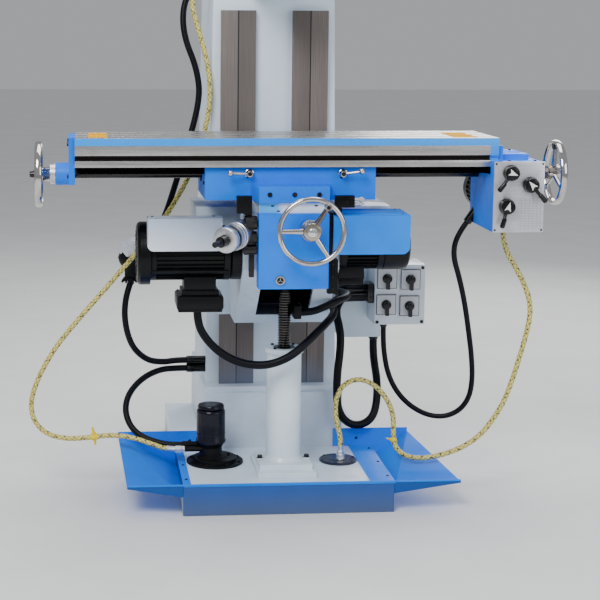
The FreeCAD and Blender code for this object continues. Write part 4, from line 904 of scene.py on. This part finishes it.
# -------------------------------------------------------- cabinet and switch box
refine("electrical_cabinet", WHITE, 1.6, 2)
refine("cabinet_door", WHITE, 1.0, 2)
k = Kit()
for z in (520, 738):
    k.rod((383.2, 296, z - 26), (383.2, 296, z + 26), 4.2, None, 16)
k.done("door_hinge_barrels", SATIN, "frame", slot="dark_steel")
refine("switch_box", GREYBOX, 1.6, 2)
SW = [(373.0, 687.0), (452.5, 683.0), (371.0, 598.0), (450.0, 593.5)]
for i, (x, z) in enumerate(SW):
    k = Kit()
    k.box((x - 33.5, -121.2, z - 34.5), (x + 33.5, -118.2, z + 34.5), 1.2)
    k.mi = 1
    k.box((x - 31.2, -122.6, z - 32.2), (x + 31.2, -120.8, z + 32.2), 0.8)
    k.mi = 2
    for sx in (-27, 27):
        for sz in (-28, 28):
            k.bolt((x + sx, -122.6, z + sz), (0, -1, 0), 1.5, 0.8, "slot")
    k.done("switch_plate_piece_%d" % (i + 1), [PLASTIC, PLATEW, SATIN], "frame", slot="white_paint")
    k = Kit()
    k.lathe((x, -118.5, z), (0, -1, 0), [(0, 16.5), (1, 17), (10, 16.4), (13, 14.5), (14, 12), (20, 11.4), (24, 10.6), (26, 8.5), (26.6, 0)], 48)
    k.box((x - 6.6, -143.5, z - 35), (x + 6.6, -126.5, z + 12), 2.6)
    k.done("switch_knob_piece_%d" % (i + 1), [PLASTIC, WHITEMARK], "knob_%d" % (i + 1), replace="switch_knob_%d" % (i + 1))
k = Kit()
for x, z in ((494, 722), (342, 538), (494, 538)):
    k.bolt((x, -115.1, z), (0, -1, 0), 5.6, 2.6, "socket")
k.box((311, -104, 600), (332.8, -34, 666), 3.0)
k.done("switch_box_screws", PLASTIC, "frame", slot="dark_steel")


def gland(k, tip, axis, r, n=6):
    """Cable gland: hex body, collar, domed nut and rubber lip; tip is the cord's end, axis points out of the body towards the cord."""
    a = Vector(axis).normalized()
    b = Vector(tip) - a * 22.0
    k.lathe(b, a, [(0, r * 1.12), (7, r * 1.12), (7.5, r * 1.0), (9, r * 1.0)], 6)
    k.lathe(b + a * 8.5, a, [(0, r * 1.04), (1, r * 1.08), (9, r * 1.02), (11.5, r * 0.94), (13.2, r * 0.9)], 12)


k = Kit()
for tip, ax, r in (((-288, 45, 381), (-1, 0, 0), 14), ((-288, 45, 353), (-1, 0, 0), 14)):
    k.lathe(Vector(tip) + Vector((66, 0, 0)), (-1, 0, 0), [(0, r), (46, r), (50, r)], 32)
    k.lathe(Vector(tip) + Vector((18, 0, 0)), (-1, 0, 0), [(0, r * 1.1), (3, r * 1.1), (4, r), (7, r), (8, r * 1.08), (11, r * 1.08), (12, r * 0.98), (15, r * 0.98), (16, r * 1.04), (19, r * 1.04), (20, r * 0.9)], 40)
    gland(k, tip, ax, r)
for tip, ax, r in (((311, -88, 618), (-1, 0, 0), 16), ((311, -50, 648), (-1, 0, 0), 15), ((308, -5, 618), (-1, 0, 0), 17.5), ((375, -60, 511), (0, 0, -1), 12), ((362, 50, 446), (0, 0, -1), 16.5), ((-142, 110, 1690), (-1, 0, 0), 14), ((-142, 60, 1700), (-1, 0, 0), 12)):
    gland(k, tip, ax, r)
    b = Vector(tip) - Vector(ax) * 12
k.done("cable_glands", PLASTIC, "frame", replace="conduit_glands")

# ----------------------------------------------------------------------- knee
refine("knee_casting", CASTW, 2.2, 2)
refine("knee_housing", BLUE, 3.0, 3)
k = Kit()
k.lathe((-41.7, -528.2, 753), (0, -1, 0), [(0, 15), (0.6, 15.2), (5, 14.6), (6.4, 13), (6.4, 10.2), (5.0, 9.4)], 48, close=False)
k.mi = 1
k.lathe((-41.7, -530, 753), (0, -1, 0), [(0, 10.4), (3.2, 10.2), (3.4, 0)], 40)
k.mi = 0
for i in range(3):
    a = math.radians(90 + 120 * i)
    k.rod((-41.7, -533.6, 753), (-41.7 + 8 * math.cos(a), -533.6, 753 + 8 * math.sin(a)), 1.1, None, 8, 0.2)
k.done("sight_glass_piece", [CHROME, PLASTIC], "knee", replace="sight_glass")


def motor(name, node, x0, x1, R, y, z, body, mat, cap=None, flange=None, nfin=30, extra=None):
    """Finned motor across X: lengthwise ribs between end bells, a fan cover with slots."""
    k = Kit()
    L = x1 - x0
    k.lathe((x0, y, z), (1, 0, 0), [(0, R * 0.86), (2, R * 0.97), (10, R), (24, R), (26, R * 0.90), (L - 26, R * 0.90), (L - 24, R), (L - 6, R), (L, R * 0.93)], 72)
    for i in range(nfin):
        a = i * 360.0 / nfin
        c, s = math.cos(math.radians(a)), math.sin(math.radians(a))
        k.box((0, 0, 0), (L - 50, 2.2, R * 0.12), 0.6, rot=Matrix.Rotation(math.radians(a - 90), 3, "X"), at=Vector(((x0 + x1) / 2, y + R * 0.93 * c, z + R * 0.93 * s)))
    if cap:
        c0, c1, cr = cap
        s_ = 1 if c1 > c0 else -1
        D = abs(c1 - c0)
        k.lathe((c0, y, z), (s_, 0, 0), [(0, cr), (D * 0.75, cr), (D * 0.93, cr * 0.95), (D, cr * 0.86), (D, cr * 0.3), (D * 0.96, cr * 0.28), (D * 0.96, 0)], 72)
        for i in range(16):
            a = math.radians(i * 22.5)
            for rr in (0.45, 0.62):
                k.rod((c1 - s_ * 0.5, y + cr * rr * math.cos(a), z + cr * rr * math.sin(a)), (c1 + s_ * 0.0 + s_ * 0.4, y + cr * (rr + 0.12) * math.cos(a), z + cr * (rr + 0.12) * math.sin(a)), 1.6, None, 8, 0.3)
    if flange:
        f0, f1, fr = flange
        k.lathe((f0, y, z), (1, 0, 0), [(0, fr - 1), (1, fr), (f1 - f0 - 1, fr), (f1 - f0, fr - 1)], 72)
    if extra:
        extra(k)
    return k.done(name, mat, body, replace=node)


def lm_extra(k):
    k.box((-330, -425, 700), (-229, -330, 748), 4)
    k.box((-338, -434, 690), (-221, -326, 706), 2.5)
    k.box((-353, -450, 648), (-207, -315, 690), 7)
    k.box((-349, -446, 640), (-211, -319, 652), 4)
    for x in (-343, -217):
        for y in (-441, -324):
            k.bolt((x, y, 690), (0, 0, 1), 4.0, 3.0, "slot")
    k.lathe((-286, -400, 668), (0, 0, -1), [(0, 17), (9, 17), (10, 15), (22, 15)], 6)
    for i in range(4):
        a = math.radians(45 + 90 * i)
        k.bolt((-181, -370 + 76 * math.cos(a), 817 + 76 * math.sin(a)), (-1, 0, 0), 6.5, 7, "hex")
    for a in (35, 145, 215, 325):
        c, s = math.cos(math.radians(a)), math.sin(math.radians(a))
        k.box((0, 0, 0), (236, 11, 13), 2, rot=Matrix.Rotation(math.radians(a - 90), 3, "X"), at=Vector((-310, -370 + 83 * c, 817 + 83 * s)))


motor("lift_motor_piece", "lift_motor", -440, -181, 86.0, -370, 817, "knee", BLACK, cap=(-434, -476, 99), flange=(-181, -150, 85), nfin=34, extra=lm_extra)


def cm_extra(k):
    k.box((150, -445, 740), (234, -385, 792), 3)
    k.box((152, -447, 723), (232, -383, 744), 4)
    for y in (-437, -393):
        for x in (160, 224):
            k.bolt((x, y, 723), (0, 0, -1), 3.6, 2.6, "slot")


motor("cross_motor_piece", "cross_motor", 150, 296, 76.0, -415, 845, "knee", BLACK, cap=(292, 372, 78), nfin=30, extra=cm_extra)


def cover_sheet(name, node, outline, y0, y1, body, mat, top, slot=None):
    """Front sheet with rounded lower corners plus its top return; outline is (x, z) round the front."""
    bm = bmesh.new()
    fr = [bm.verts.new(Vector((x, y0, z)) * MM) for x, z in outline]
    bk = [bm.verts.new(Vector((x, y1, z)) * MM) for x, z in outline]
    bm.faces.new(fr)
    bm.faces.new(bk[::-1])
    n = len(fr)
    for i in range(n):
        bm.faces.new((fr[i], bk[i], bk[(i + 1) % n], fr[(i + 1) % n]))
    k = Kit()
    k.bm.free()
    k.bm = bm
    for lo, hi in top:
        k.box(lo, hi, 1.2)
    return k.done(name, mat, body, replace=node)


def arc_pts(cx, cz, r, a0, a1, n=8):
    return [(cx + r * math.cos(math.radians(a0 + (a1 - a0) * i / n)), cz + r * math.sin(math.radians(a0 + (a1 - a0) * i / n))) for i in range(n + 1)]


out = [(-446, 942), (-216, 942), (-216, 838)] + arc_pts(-426, 858, 20, 270, 180, 8)
cover_sheet("lift_motor_cover_piece", "lift_motor_cover", out, -482, -479, "knee", PANEL_PAINTED_REFLECTION, [((-446, -482, 939), (-216, -430, 942)), ((-446, -482, 858), (-443, -436, 942)), ((-300, -462, 872), (-280, -442, 939)), ((-420, -462, 872), (-400, -442, 939))])
out = [(125, 948), (365, 948)] + arc_pts(341, 851, 24, 0, -90, 8) + [(125, 827)]
cover_sheet("cross_motor_cover_piece", "cross_motor_cover", out, -505, -501.5, "knee", COVERB, [((151, -503, 944.4), (365, -338, 948)), ((125, -503, 944.4), (152, -473, 948))])
k = Kit()
k.box((128, -503.5, 948.05), (364, -339, 949.6), 0.6)
k.done("cross_motor_cover_top", COVERT, "knee", slot="blue_cover")
k = Kit()
for x, y in ((170, -360), (345, -360), (345, -480)):
    k.bolt((x, y, 949.6), (0, 0, 1), 4.2, 2.2, "socket")
for x in (-430, -240):
    k.bolt((x, -452, 942), (0, 0, 1), 4.2, 2.2, "socket")
k.done("cover_screws", DARKST, "knee", slot="dark_steel")
k = Kit()
k.mi = 0
k.box((-175, -515, 957.5), (-128, -490, 1011), 2.5)
k.box((-150, -514, 952), (-128, -471, 958), 1.5)
k.box((128, -515, 974), (188, -490, 1011), 2.5)
k.box((128, -514, 950), (149, -471, 975), 1.5)
k.box((110.2, -500, 704), (142, -470, 812), 2.5)
k.box((26.5, -358, 598), (50, -206, 640), 2.0)
k.box((110.6, -497, 812.2), (124, -472, 955), 1.5)
k.mi = 1
k.rod((187, -502, 999), (219, -502, 999), 4, None, 20)
k.rod((187, -502, 984), (219, -502, 984), 4, None, 20)
k.rod((205, -502, 984), (213, -502, 984), 7, None, 20)
k.rod((205, -502, 999), (213, -502, 999), 7, None, 20)
k.mi = 2
for x, z in ((-152, 984), (164, 992)):
    k.bolt((x, -515, z), (0, -1, 0), 2.6, 1.8, "socket")
for z in (720, 758, 796):
    k.bolt((126, -500, z), (0, -1, 0), 3.0, 2.0, "slot")
k.done("limit_switch_pieces", [BLACK, SATIN, DARKST], "knee", replace="limit_switches")

# crank housing and crank, along a slanting axis
H0 = Vector((-171, -500, 890))
UA = Vector((-0.543, -0.836, -0.085)).normalized()


def al(t):
    return H0 + UA * t


k = Kit()
k.lathe(al(-28), UA, [(0, 38), (2, 42), (8, 43), (40, 43), (42, 40.5), (48, 40.5), (50, 43), (56, 43), (58, 41), (58, 12)], 64)
k.box((-150, -503, 866), (-108.2, -478, 952), 3)
k.mi = 1
for zc, rc in ((928, 22.0), (882, 19.5)):
    k.rod((-150, -502, zc), (-112, -502, zc), rc, None, 44, 1.6)
    k.rod((-152, -502, zc), (-147, -502, zc), rc * 0.62, None, 32, 1.0)
    for i in range(30):
        a = math.radians(i * 12)
        k.rod((-146, -502 + rc * math.cos(a), zc + rc * math.sin(a)), (-119, -502 + rc * math.cos(a), zc + rc * math.sin(a)), 1.1, None, 6, 0.3)
k.rod((-152, -502, 845), (-112, -502, 845), 16, None, 36, 1.5)
k.rod((-156, -502, 845), (-151, -502, 845), 9, None, 6, 0.5)
k.box((-136, -512, 760), (-120, -490, 848), 2.0)
k.done("crank_housing_piece", [SATIN, DARKST], "knee", replace="crank_housing")
k = Kit()
k.rod((-150.6, -502, 905), (-149, -502, 905), 1, None, 8, 0.2)
k.lathe(al(-29), UA, [(0, 41), (1, 43.4), (9, 43.4), (10, 43.0)], 64)
k.done("crank_housing_collar", BLACK, "knee", slot="dark_steel")
k = Kit()
k.lathe(al(30.5), UA, [(0, 30), (0, 40), (1, 41), (12, 41), (13, 40)], 64)
k.mi = 1
k.lathe(al(43), UA, [(0, 36), (1, 33.5), (15, 33.5), (16, 36)], 56)
k.mi = 2
k.lathe(al(59), UA, [(0, 38), (1, 40), (22.5, 40), (24, 39.2), (25, 37.6), (25.2, 22), (24.8, 21.5), (24.8, 0)], 96)
k.mi = 3
k.lathe(al(83), UA, [(0, 18), (4, 18), (5, 17), (28, 17), (29, 15), (29, 12), (40, 12), (41, 9.4), (66, 9), (67, 8)], 40)
ud = UA.orthogonal().normalized()
uw = UA.cross(ud)
for i in range(50):
    a = 2 * math.pi * i / 50
    d = ud * math.cos(a) + uw * math.sin(a)
    ln = 9.0 if i % 5 == 0 else 5.5
    p = al(60.5) + d * 40.05
    k.rod(p, p + UA * ln, 0.42, None, 6, 0.1)
k.done("crank_dial_piece", [SATIN, DARKST, SATIN, DARKST], "crank", replace="crank_shaft")

# cross-feed handwheel
SPOKED = metal("dark_spoke_steel", (0.20, 0.175, 0.165), 0.3, (8, 8, 8), 0.15, 9.0, 0.3)
k = Kit()
HC = Vector((44, -600, 912))
k.torus(HC, (0, 1, 0), 98, 8.0, 128, 24)
for a in (180, 57, -57):
    c, s = math.cos(math.radians(a)), math.sin(math.radians(a))
    d = Vector((c, 0, s))
    k.mi = 2 if a == 57 else 0
    k.rod(HC + d * 20 + Vector((0, 5, 0)), HC + d * 60 + Vector((0, 2, 0)), 10.5, 7.6, 28)
    k.rod(HC + d * 58 + Vector((0, 2, 0)), HC + d * 94, 7.6, 7.2, 28)
k.mi = 1
k.lathe((44, -588, 912), (0, -1, 0), [(0, 26), (2, 29), (20, 28), (23, 26), (24.5, 20), (24.5, 0)], 64)
k.mi = 4
k.lathe((44, -612.4, 912), (0, -1, 0), [(0, 14), (1.5, 14), (2, 11), (6, 10.5), (9, 7.5), (10, 0)], 32)
k.mi = 3
k.lathe((44, -611.9, 912), (0, -1, 0), [(0, 19.4), (0.5, 19.2), (0.5, 17.8)], 48, close=False)
k.mi = 0
k.lathe((44, -588, 912), (0, 1, 0), [(0, 32), (1, 32.6), (26, 32.6), (28, 30), (42, 29)], 80)
for i in range(60):
    a = 2 * math.pi * i / 60
    k.rod((44 + 32.6 * math.cos(a), -584, 912 + 32.6 * math.sin(a)), (44 + 32.6 * math.cos(a), -584 + (11 if i % 5 == 0 else 7), 912 + 32.6 * math.sin(a)), 0.45, None, 6, 0.1)
k.lathe((44, -546, 912), (0, 1, 0), [(0, 12), (466, 12)], 32)
k.mi = 2
d = Vector((math.cos(math.radians(57)), 0, math.sin(math.radians(57))))
k.mi = 0
k.rod(HC + d * 88 + Vector((0, 9, 0)), HC + d * 88 + Vector((0, -11, 0)), 11.5, 10.5, 32, 1.5)
k.mi = 3
k.lathe(HC + d * 88 + Vector((0, -11, 0)), (0, -1, 0), [(0, 6), (3.2, 6), (3.6, 5.4), (3.6, 3), (2.0, 3), (2.0, 0)], 6)
k.done("cross_handwheel_piece", [CHROME, HUBM, SPOKED, DARKST, BRIGHT], "cross_wheel", replace="cross_handwheel")

# --------------------------------------------------------------------- saddle
refine("saddle_casting", BLUE, 2.0, 2)
refine("cross_nut", BRASS, 1.0)
bmb = refine("saddle_bracket", BLUE, 2.0, 2)
k = Kit()
for x in (-76, 0, 76):
    k.bolt((x, -530.2, 1016.5), (0, -1, 0), 7.5, 1.5, "socket")
k.done("bracket_screws", DARKST, "saddle", slot="dark_steel")
k = Kit()
for s in (-1, 1):
    for y in (-400, -290, -180):
        k.bolt((s * 266.1, y, 1040), (s, 0, 0), 5.5, 4.0, "socket")
k.done("saddle_screws", DARKST, "saddle", slot="dark_steel")
k = Kit()
for x, z in ((-66, 981), (-48, 965), (68, 981)):
    k.box((x - 5, -517.6, z - 2), (x + 5, -516.4, z + 2), 0.3)
k.done("knee_ledge_marks", DARKST, "knee", slot="dark_steel")
# knee ledge: a thin plate carrying a painted highlight, blue at the left running to white across the middle and right
LEDGE_PAINTED_HIGHLIGHT, nt, bs = new_mat("ledge_painted_highlight")
tc = nt.nodes.new("ShaderNodeTexCoord")
sx = nt.nodes.new("ShaderNodeSeparateXYZ")
nt.links.new(tc.outputs["Object"], sx.inputs[0])
ln = noise_tex(nt, coords(nt), 26.0, 5.0)
ledge_highlight_fac = math_n(nt, "ADD", math_n(nt, "MULTIPLY", sx.outputs["X"], 5.0), math_n(nt, "ADD", 0.42, math_n(nt, "MULTIPLY", ln, 0.16)))
nt.links.new(ramp(nt, ledge_highlight_fac, [(0.0, (0.03, 0.42, 1.0)), (0.24, (0.10, 0.52, 1.0)), (0.34, (0.86, 0.94, 1.0)), (0.95, (0.80, 0.92, 1.0))]), bs.inputs["Base Color"])
bs.inputs["Roughness"].default_value = 0.3
k = Kit()
k.box((-104.6, -516.6, 958), (104.6, -515.2, 989.2), 0.5)
k.done("knee_ledge_highlight_plate", LEDGE_PAINTED_HIGHLIGHT, "knee", slot="blue_paint")
for nm, hx, hz, bx_, bz in (("left", -130, 1073, -191, 1076), ("right", 161, 1072, 217, 1081)):
    k = Kit()
    k.lathe((hx, -438.6, hz), (0, -1, 0), [(0, 14), (1, 14.5), (6, 14), (7, 12), (22, 11), (25, 9), (26, 0)], 32)
    k.rod((hx, -456, hz), (bx_, -470, bz), 4.8, 3.8, 20)
    k.mi = 1
    k.lathe(Vector((bx_, -470, bz)) - Vector((bx_ - hx, -14, bz - hz)).normalized() * 9, Vector((bx_ - hx, -14, bz - hz)), [(0, 4), (2, 7), (6, 9), (10, 9.3), (14, 7.8), (17, 4.5), (18, 0)], 32)
    k.mi = 2
    k.lathe((hx, -464.6, hz), (0, -1, 0), [(0, 6.5), (1.2, 6.2), (1.4, 0)], 24)
    k.done("table_lock_piece_" + nm, [CHROME, CHROME, DARKST], "lock_" + nm, replace="table_lock_" + nm)

# ---------------------------------------------------------------------- table
refine("table", TABLE, 0.8, 2)
k = Kit()
for x, w in ((-624, 58), (514, 74)):
    k.box((x, -425, 1183.05), (x + w, -387, 1184.4), 0.3)
    k.box((x, -363, 1183.05), (x + w, -307, 1184.4), 0.3)
    k.box((x, -283, 1183.05), (x + w, -240, 1184.4), 0.3)
k.done("table_yellow_markers", AMBER, "table", slot="hose_braid")
refine("end_bracket_left", BLUE, 1.6, 2)
k = Kit()
for y, z in ((-385, 1060), (-385, 1160), (-215, 1060), (-215, 1160)):
    k.bolt((-685.1, y, z), (-1, 0, 0), 6.5, 5, "socket")
k.done("left_bracket_screws", DARKST, "table", slot="dark_steel")
refine("feed_gearbox", BLUE, 1.8, 2)
refine("gearbox_plate", PLATE, 0.8, 2)
k = Kit()
for x, z in ((630, 1106), (777, 1106), (630, 900), (777, 900)):
    k.bolt((x, -502.1, z), (0, -1, 0), 3.2, 1.8, "slot")
for x, y in ((680, -470), (765, -455), (740, -250), (690, -250)):
    k.bolt((x, y, 1111.1 if y < -400 else 1128.1), (0, 0, 1), 4.5, 3.5, "socket")
k.done("gearbox_screws", DARKST, "table", slot="dark_steel")
k = Kit()
gt, ga = Vector((606, -250, 893)), Vector((-0.6, 0, -0.8))
gland(k, gt, ga, 12.0)
gland(k, Vector((703, -330, 893 - 0.2)), Vector((0, 0, -1)), 10.0)
k.rod(gt - ga * 52, gt + ga * 1, 16.5, 14.0, 24, 1.5)
k.done("gearbox_glands", PLASTIC, "table", slot="black_plastic")
SEL = [(675.2, 1078.7, 636.4, 1028.6, 95), (738.1, 1041.5, 777.9, 994.7, 135), (664.7, 974.3, 647.0, 916.0, 62)]
for i, (kx, kz, lx, lz, ar) in enumerate(SEL):
    k = Kit()
    k.lathe((kx, -502.5, kz), (0, -1, 0), [(0, 24), (2, 25), (8, 25), (12, 23), (25, 22.4), (27.5, 20.5), (28, 18), (28, 0)], 56)
    dv = Vector((lx - kx, 0, lz - kz)).normalized()
    p0 = Vector((kx, -519, kz)) + dv * 18
    k.rod(p0, Vector((lx, -528, lz)) - dv * 2, 6.0, 5.0, 24)
    k.lathe(Vector((lx, -528, lz)) - dv * 26, dv, [(0, 5.2), (3, 7.4), (26, 8.0), (31, 7.0), (33, 4), (33.4, 0)], 28)
    k.mi = 1
    ang = math.radians((-22, 132, 74)[i])

    def rp(r, a):
        return Vector((kx + r * math.cos(ang + a), -530.7, kz + r * math.sin(ang + a))) * MM
    pts_ = [rp(17, 0), rp(16.5, 2.45), rp(6.5, math.pi), rp(16.5, -2.45)]
    vs = [k.bm.verts.new(p) for p in pts_]
    vb = [k.bm.verts.new(p + Vector((0, 0.5 * MM, 0))) for p in pts_]
    for f in (vs, vb[::-1]):
        fc = k.bm.faces.new(f)
        fc.material_index = 1
    for q in range(4):
        fc = k.bm.faces.new((vs[q], vb[q], vb[(q + 1) % 4], vs[(q + 1) % 4]))
        fc.material_index = 1
    k.done("selector_piece_%d" % (i + 1), [PLASTIC, WHITEMARK], "selector_%d" % (i + 1), replace="selector_%d" % (i + 1))
k = Kit()
k.lathe((708, -215.2, 988), (0, 1, 0), [(0, 70), (1, 73), (8, 73), (10, 66), (108, 66), (110, 72), (148, 72), (153, 66), (155, 60), (155, 20), (153, 18), (153, 0)], 72)
for i in range(30):
    a = i * 12.0
    c, s = math.cos(math.radians(a)), math.sin(math.radians(a))
    k.box((0, 0, 0), (2.2, 96, 9), 0.6, rot=Matrix.Rotation(math.radians(-(a - 90)), 3, "Y"), at=Vector((708 + 68 * c, -215 + 60, 988 + 68 * s)))
k.done("table_feed_motor_piece", BLACK, "table", replace="table_feed_motor")
refine("table_screw", DARKST, 0.5)


def wheel(name, node, xc, s, dial0, dial1, hub_r, handle, rim=(105, 91, 24)):
    k = Kit()
    R1, R0, W = rim
    Rm, hw = (R1 + R0) / 2, (R1 - R0) / 2
    k.torus((xc, -300, 1060), (1, 0, 0), Rm, hw, 128, 24, squash=W / 2 / hw)
    for a in (90, 210, 330):
        c, sn = math.cos(math.radians(a)), math.sin(math.radians(a))
        k.rod((xc - s * 5, -300 + 14 * c, 1060 + 14 * sn), (xc, -300 + (R0 + 3) * c, 1060 + (R0 + 3) * sn), 9, 7, 24)
    hub = abs(xc + s * 14 - dial0)
    k.lathe((dial0, -300, 1060), (s, 0, 0), [(0, hub_r), (hub * 0.55, hub_r * 0.8), (hub - 4, hub_r * 0.95), (hub, hub_r * 0.85), (hub, 14)], 56)
    L = abs(dial0 - dial1)
    k.mi = 1
    k.lathe((dial1, -300, 1060), (s, 0, 0), [(0, 14), (0, 30.5), (1, 31.5), (L - 1, 31.5), (L, 30)], 80)
    for i in range(60):
        a = 2 * math.pi * i / 60
        k.rod((dial1 + s * 1.5, -300 + 31.5 * math.cos(a), 1060 + 31.5 * math.sin(a)), (dial1 + s * (8 if i % 5 == 0 else 5), -300 + 31.5 * math.cos(a), 1060 + 31.5 * math.sin(a)), 0.4, None, 6, 0.1)
    k.mi = 2
    k.lathe((xc + s * 13.5, -300, 1060), (s, 0, 0), [(0, 13), (3, 13), (4, 11)], 6)
    k.rod(handle[0], handle[1], handle[2], handle[2] * 0.85, 32, 2.0)
    return k.done(name, [CHROME, SATIN, DARKST], "table_screw", replace=node)


wheel("handwheel_left_piece", "handwheel_left", -779, -1, -744.5, -726.4, 24, ((-786, -384, 1067), (-805, -384, 1067), 11))
wheel("handwheel_right_piece", "handwheel_right", 878, 1, 812.3, 800.4, 26, ((868, -300, 1146), (894, -300, 1146), 13))

# ------------------------------------------------------------- ram and head
refine("ram", WHITE, 4.0, 3)
refine("head_casting", WHITE, 5.0, 3)
refine("quill", SATIN, 1.5)
refine("spindle", SATIN, 1.0)
k = Kit()
k.lathe((0, -310, 1985), (0, 0, 1), [(0, 90), (2, 96), (14, 96), (18, 88), (186, 88), (190, 95), (205, 95), (206, 90), (236, 88), (242, 78), (245, 60), (245, 20), (243, 18), (243, 0)], 72)
for i in range(36):
    a = i * 10.0
    c, s = math.cos(math.radians(a)), math.sin(math.radians(a))
    k.box((0, 0, 0), (8, 2.2, 166), 0.5, rot=rotz(a, "Z"), at=Vector((90.5 * c, -310 + 90.5 * s, 2087)))
k.box((82, -360, 2062), (128, -260, 2130), 4)
k.done("head_motor_piece", BLACK, "head", replace="head_motor")
k = Kit()
k.lathe((70.5, -345, 1790), (1, 0, 0), [(0, 10), (1, 11), (25, 11), (25.3, 24), (27, 26), (50, 24), (54, 18), (54.5, 0)], 40)
k.rod((112, -345, 1790), (118, -466, 1703), 7, 6, 24)
k.mi = 1
k.lathe((117.6, -459, 1708), Vector((118, -475, 1696)) - Vector((117.6, -459, 1708)), [(0, 7), (3, 12), (9, 16), (16, 17), (24, 15), (31, 9), (33, 0)], 36)
k.done("quill_lever_piece", [CHROME, PLASTIC], "quill_lever", replace="quill_lever")

# --------------------------------------------------------------- floor, lights
fm, nt, b = new_mat("pale_floor")
n1 = noise_tex(nt, coords(nt), 3.0, 6.0)
nt.links.new(ramp(nt, n1, [(0.3, (0.80, 0.80, 0.79)), (0.7, (0.86, 0.86, 0.85))]), b.inputs["Base Color"])
b.inputs["Roughness"].default_value = 0.8
bm = bmesh.new()
bmesh.ops.create_grid(bm, x_segments=4, y_segments=4, size=30.0)
floor = put("floor", bm, fm, None, smooth=False)
floor.location.z = -0.0005
w = bpy.data.worlds.new("soft_sky") if scene.world is None else scene.world
scene.world = w
w.use_nodes = True
bg = w.node_tree.nodes["Background"]
bg.inputs["Color"].default_value = (0.93, 0.96, 1.0, 1)
bg.inputs["Strength"].default_value = 0.42


def area(name, loc, target, size, power, col=(1, 1, 1)):
    l = bpy.data.lights.new(name, "AREA")
    l.shape = "RECTANGLE"
    l.size, l.size_y = size
    l.energy = power
    l.color = col
    o = bpy.data.objects.new(name, l)
    o.location = loc
    o.rotation_mode = "QUATERNION"
    o.rotation_quaternion = (Vector(target) - Vector(loc)).to_track_quat("-Z", "Y")
    scene.collection.objects.link(o)


area("key", (-2.0, -4.0, 4.4), (0, -0.3, 0.9), (2.2, 2.2), 215)
area("fill", (3.2, -3.6, 2.2), (0.1, -0.3, 0.8), (2.6, 2.2), 50, (0.95, 0.97, 1.0))
area("top", (0.2, 0.6, 4.6), (0, 0, 0.8), (3.0, 3.0), 110)
area("back", (2.0, 3.6, 2.6), (0, 0, 1.0), (2.0, 2.0), 60)

# ---------------------------------------------- anything left of the CAD nodes
LEFT = {}
for n, o in NODES.items():
    if not o.hide_render:
        LEFT[n] = 1
        o.data.materials.clear()
        o.data.materials.append(SATIN)
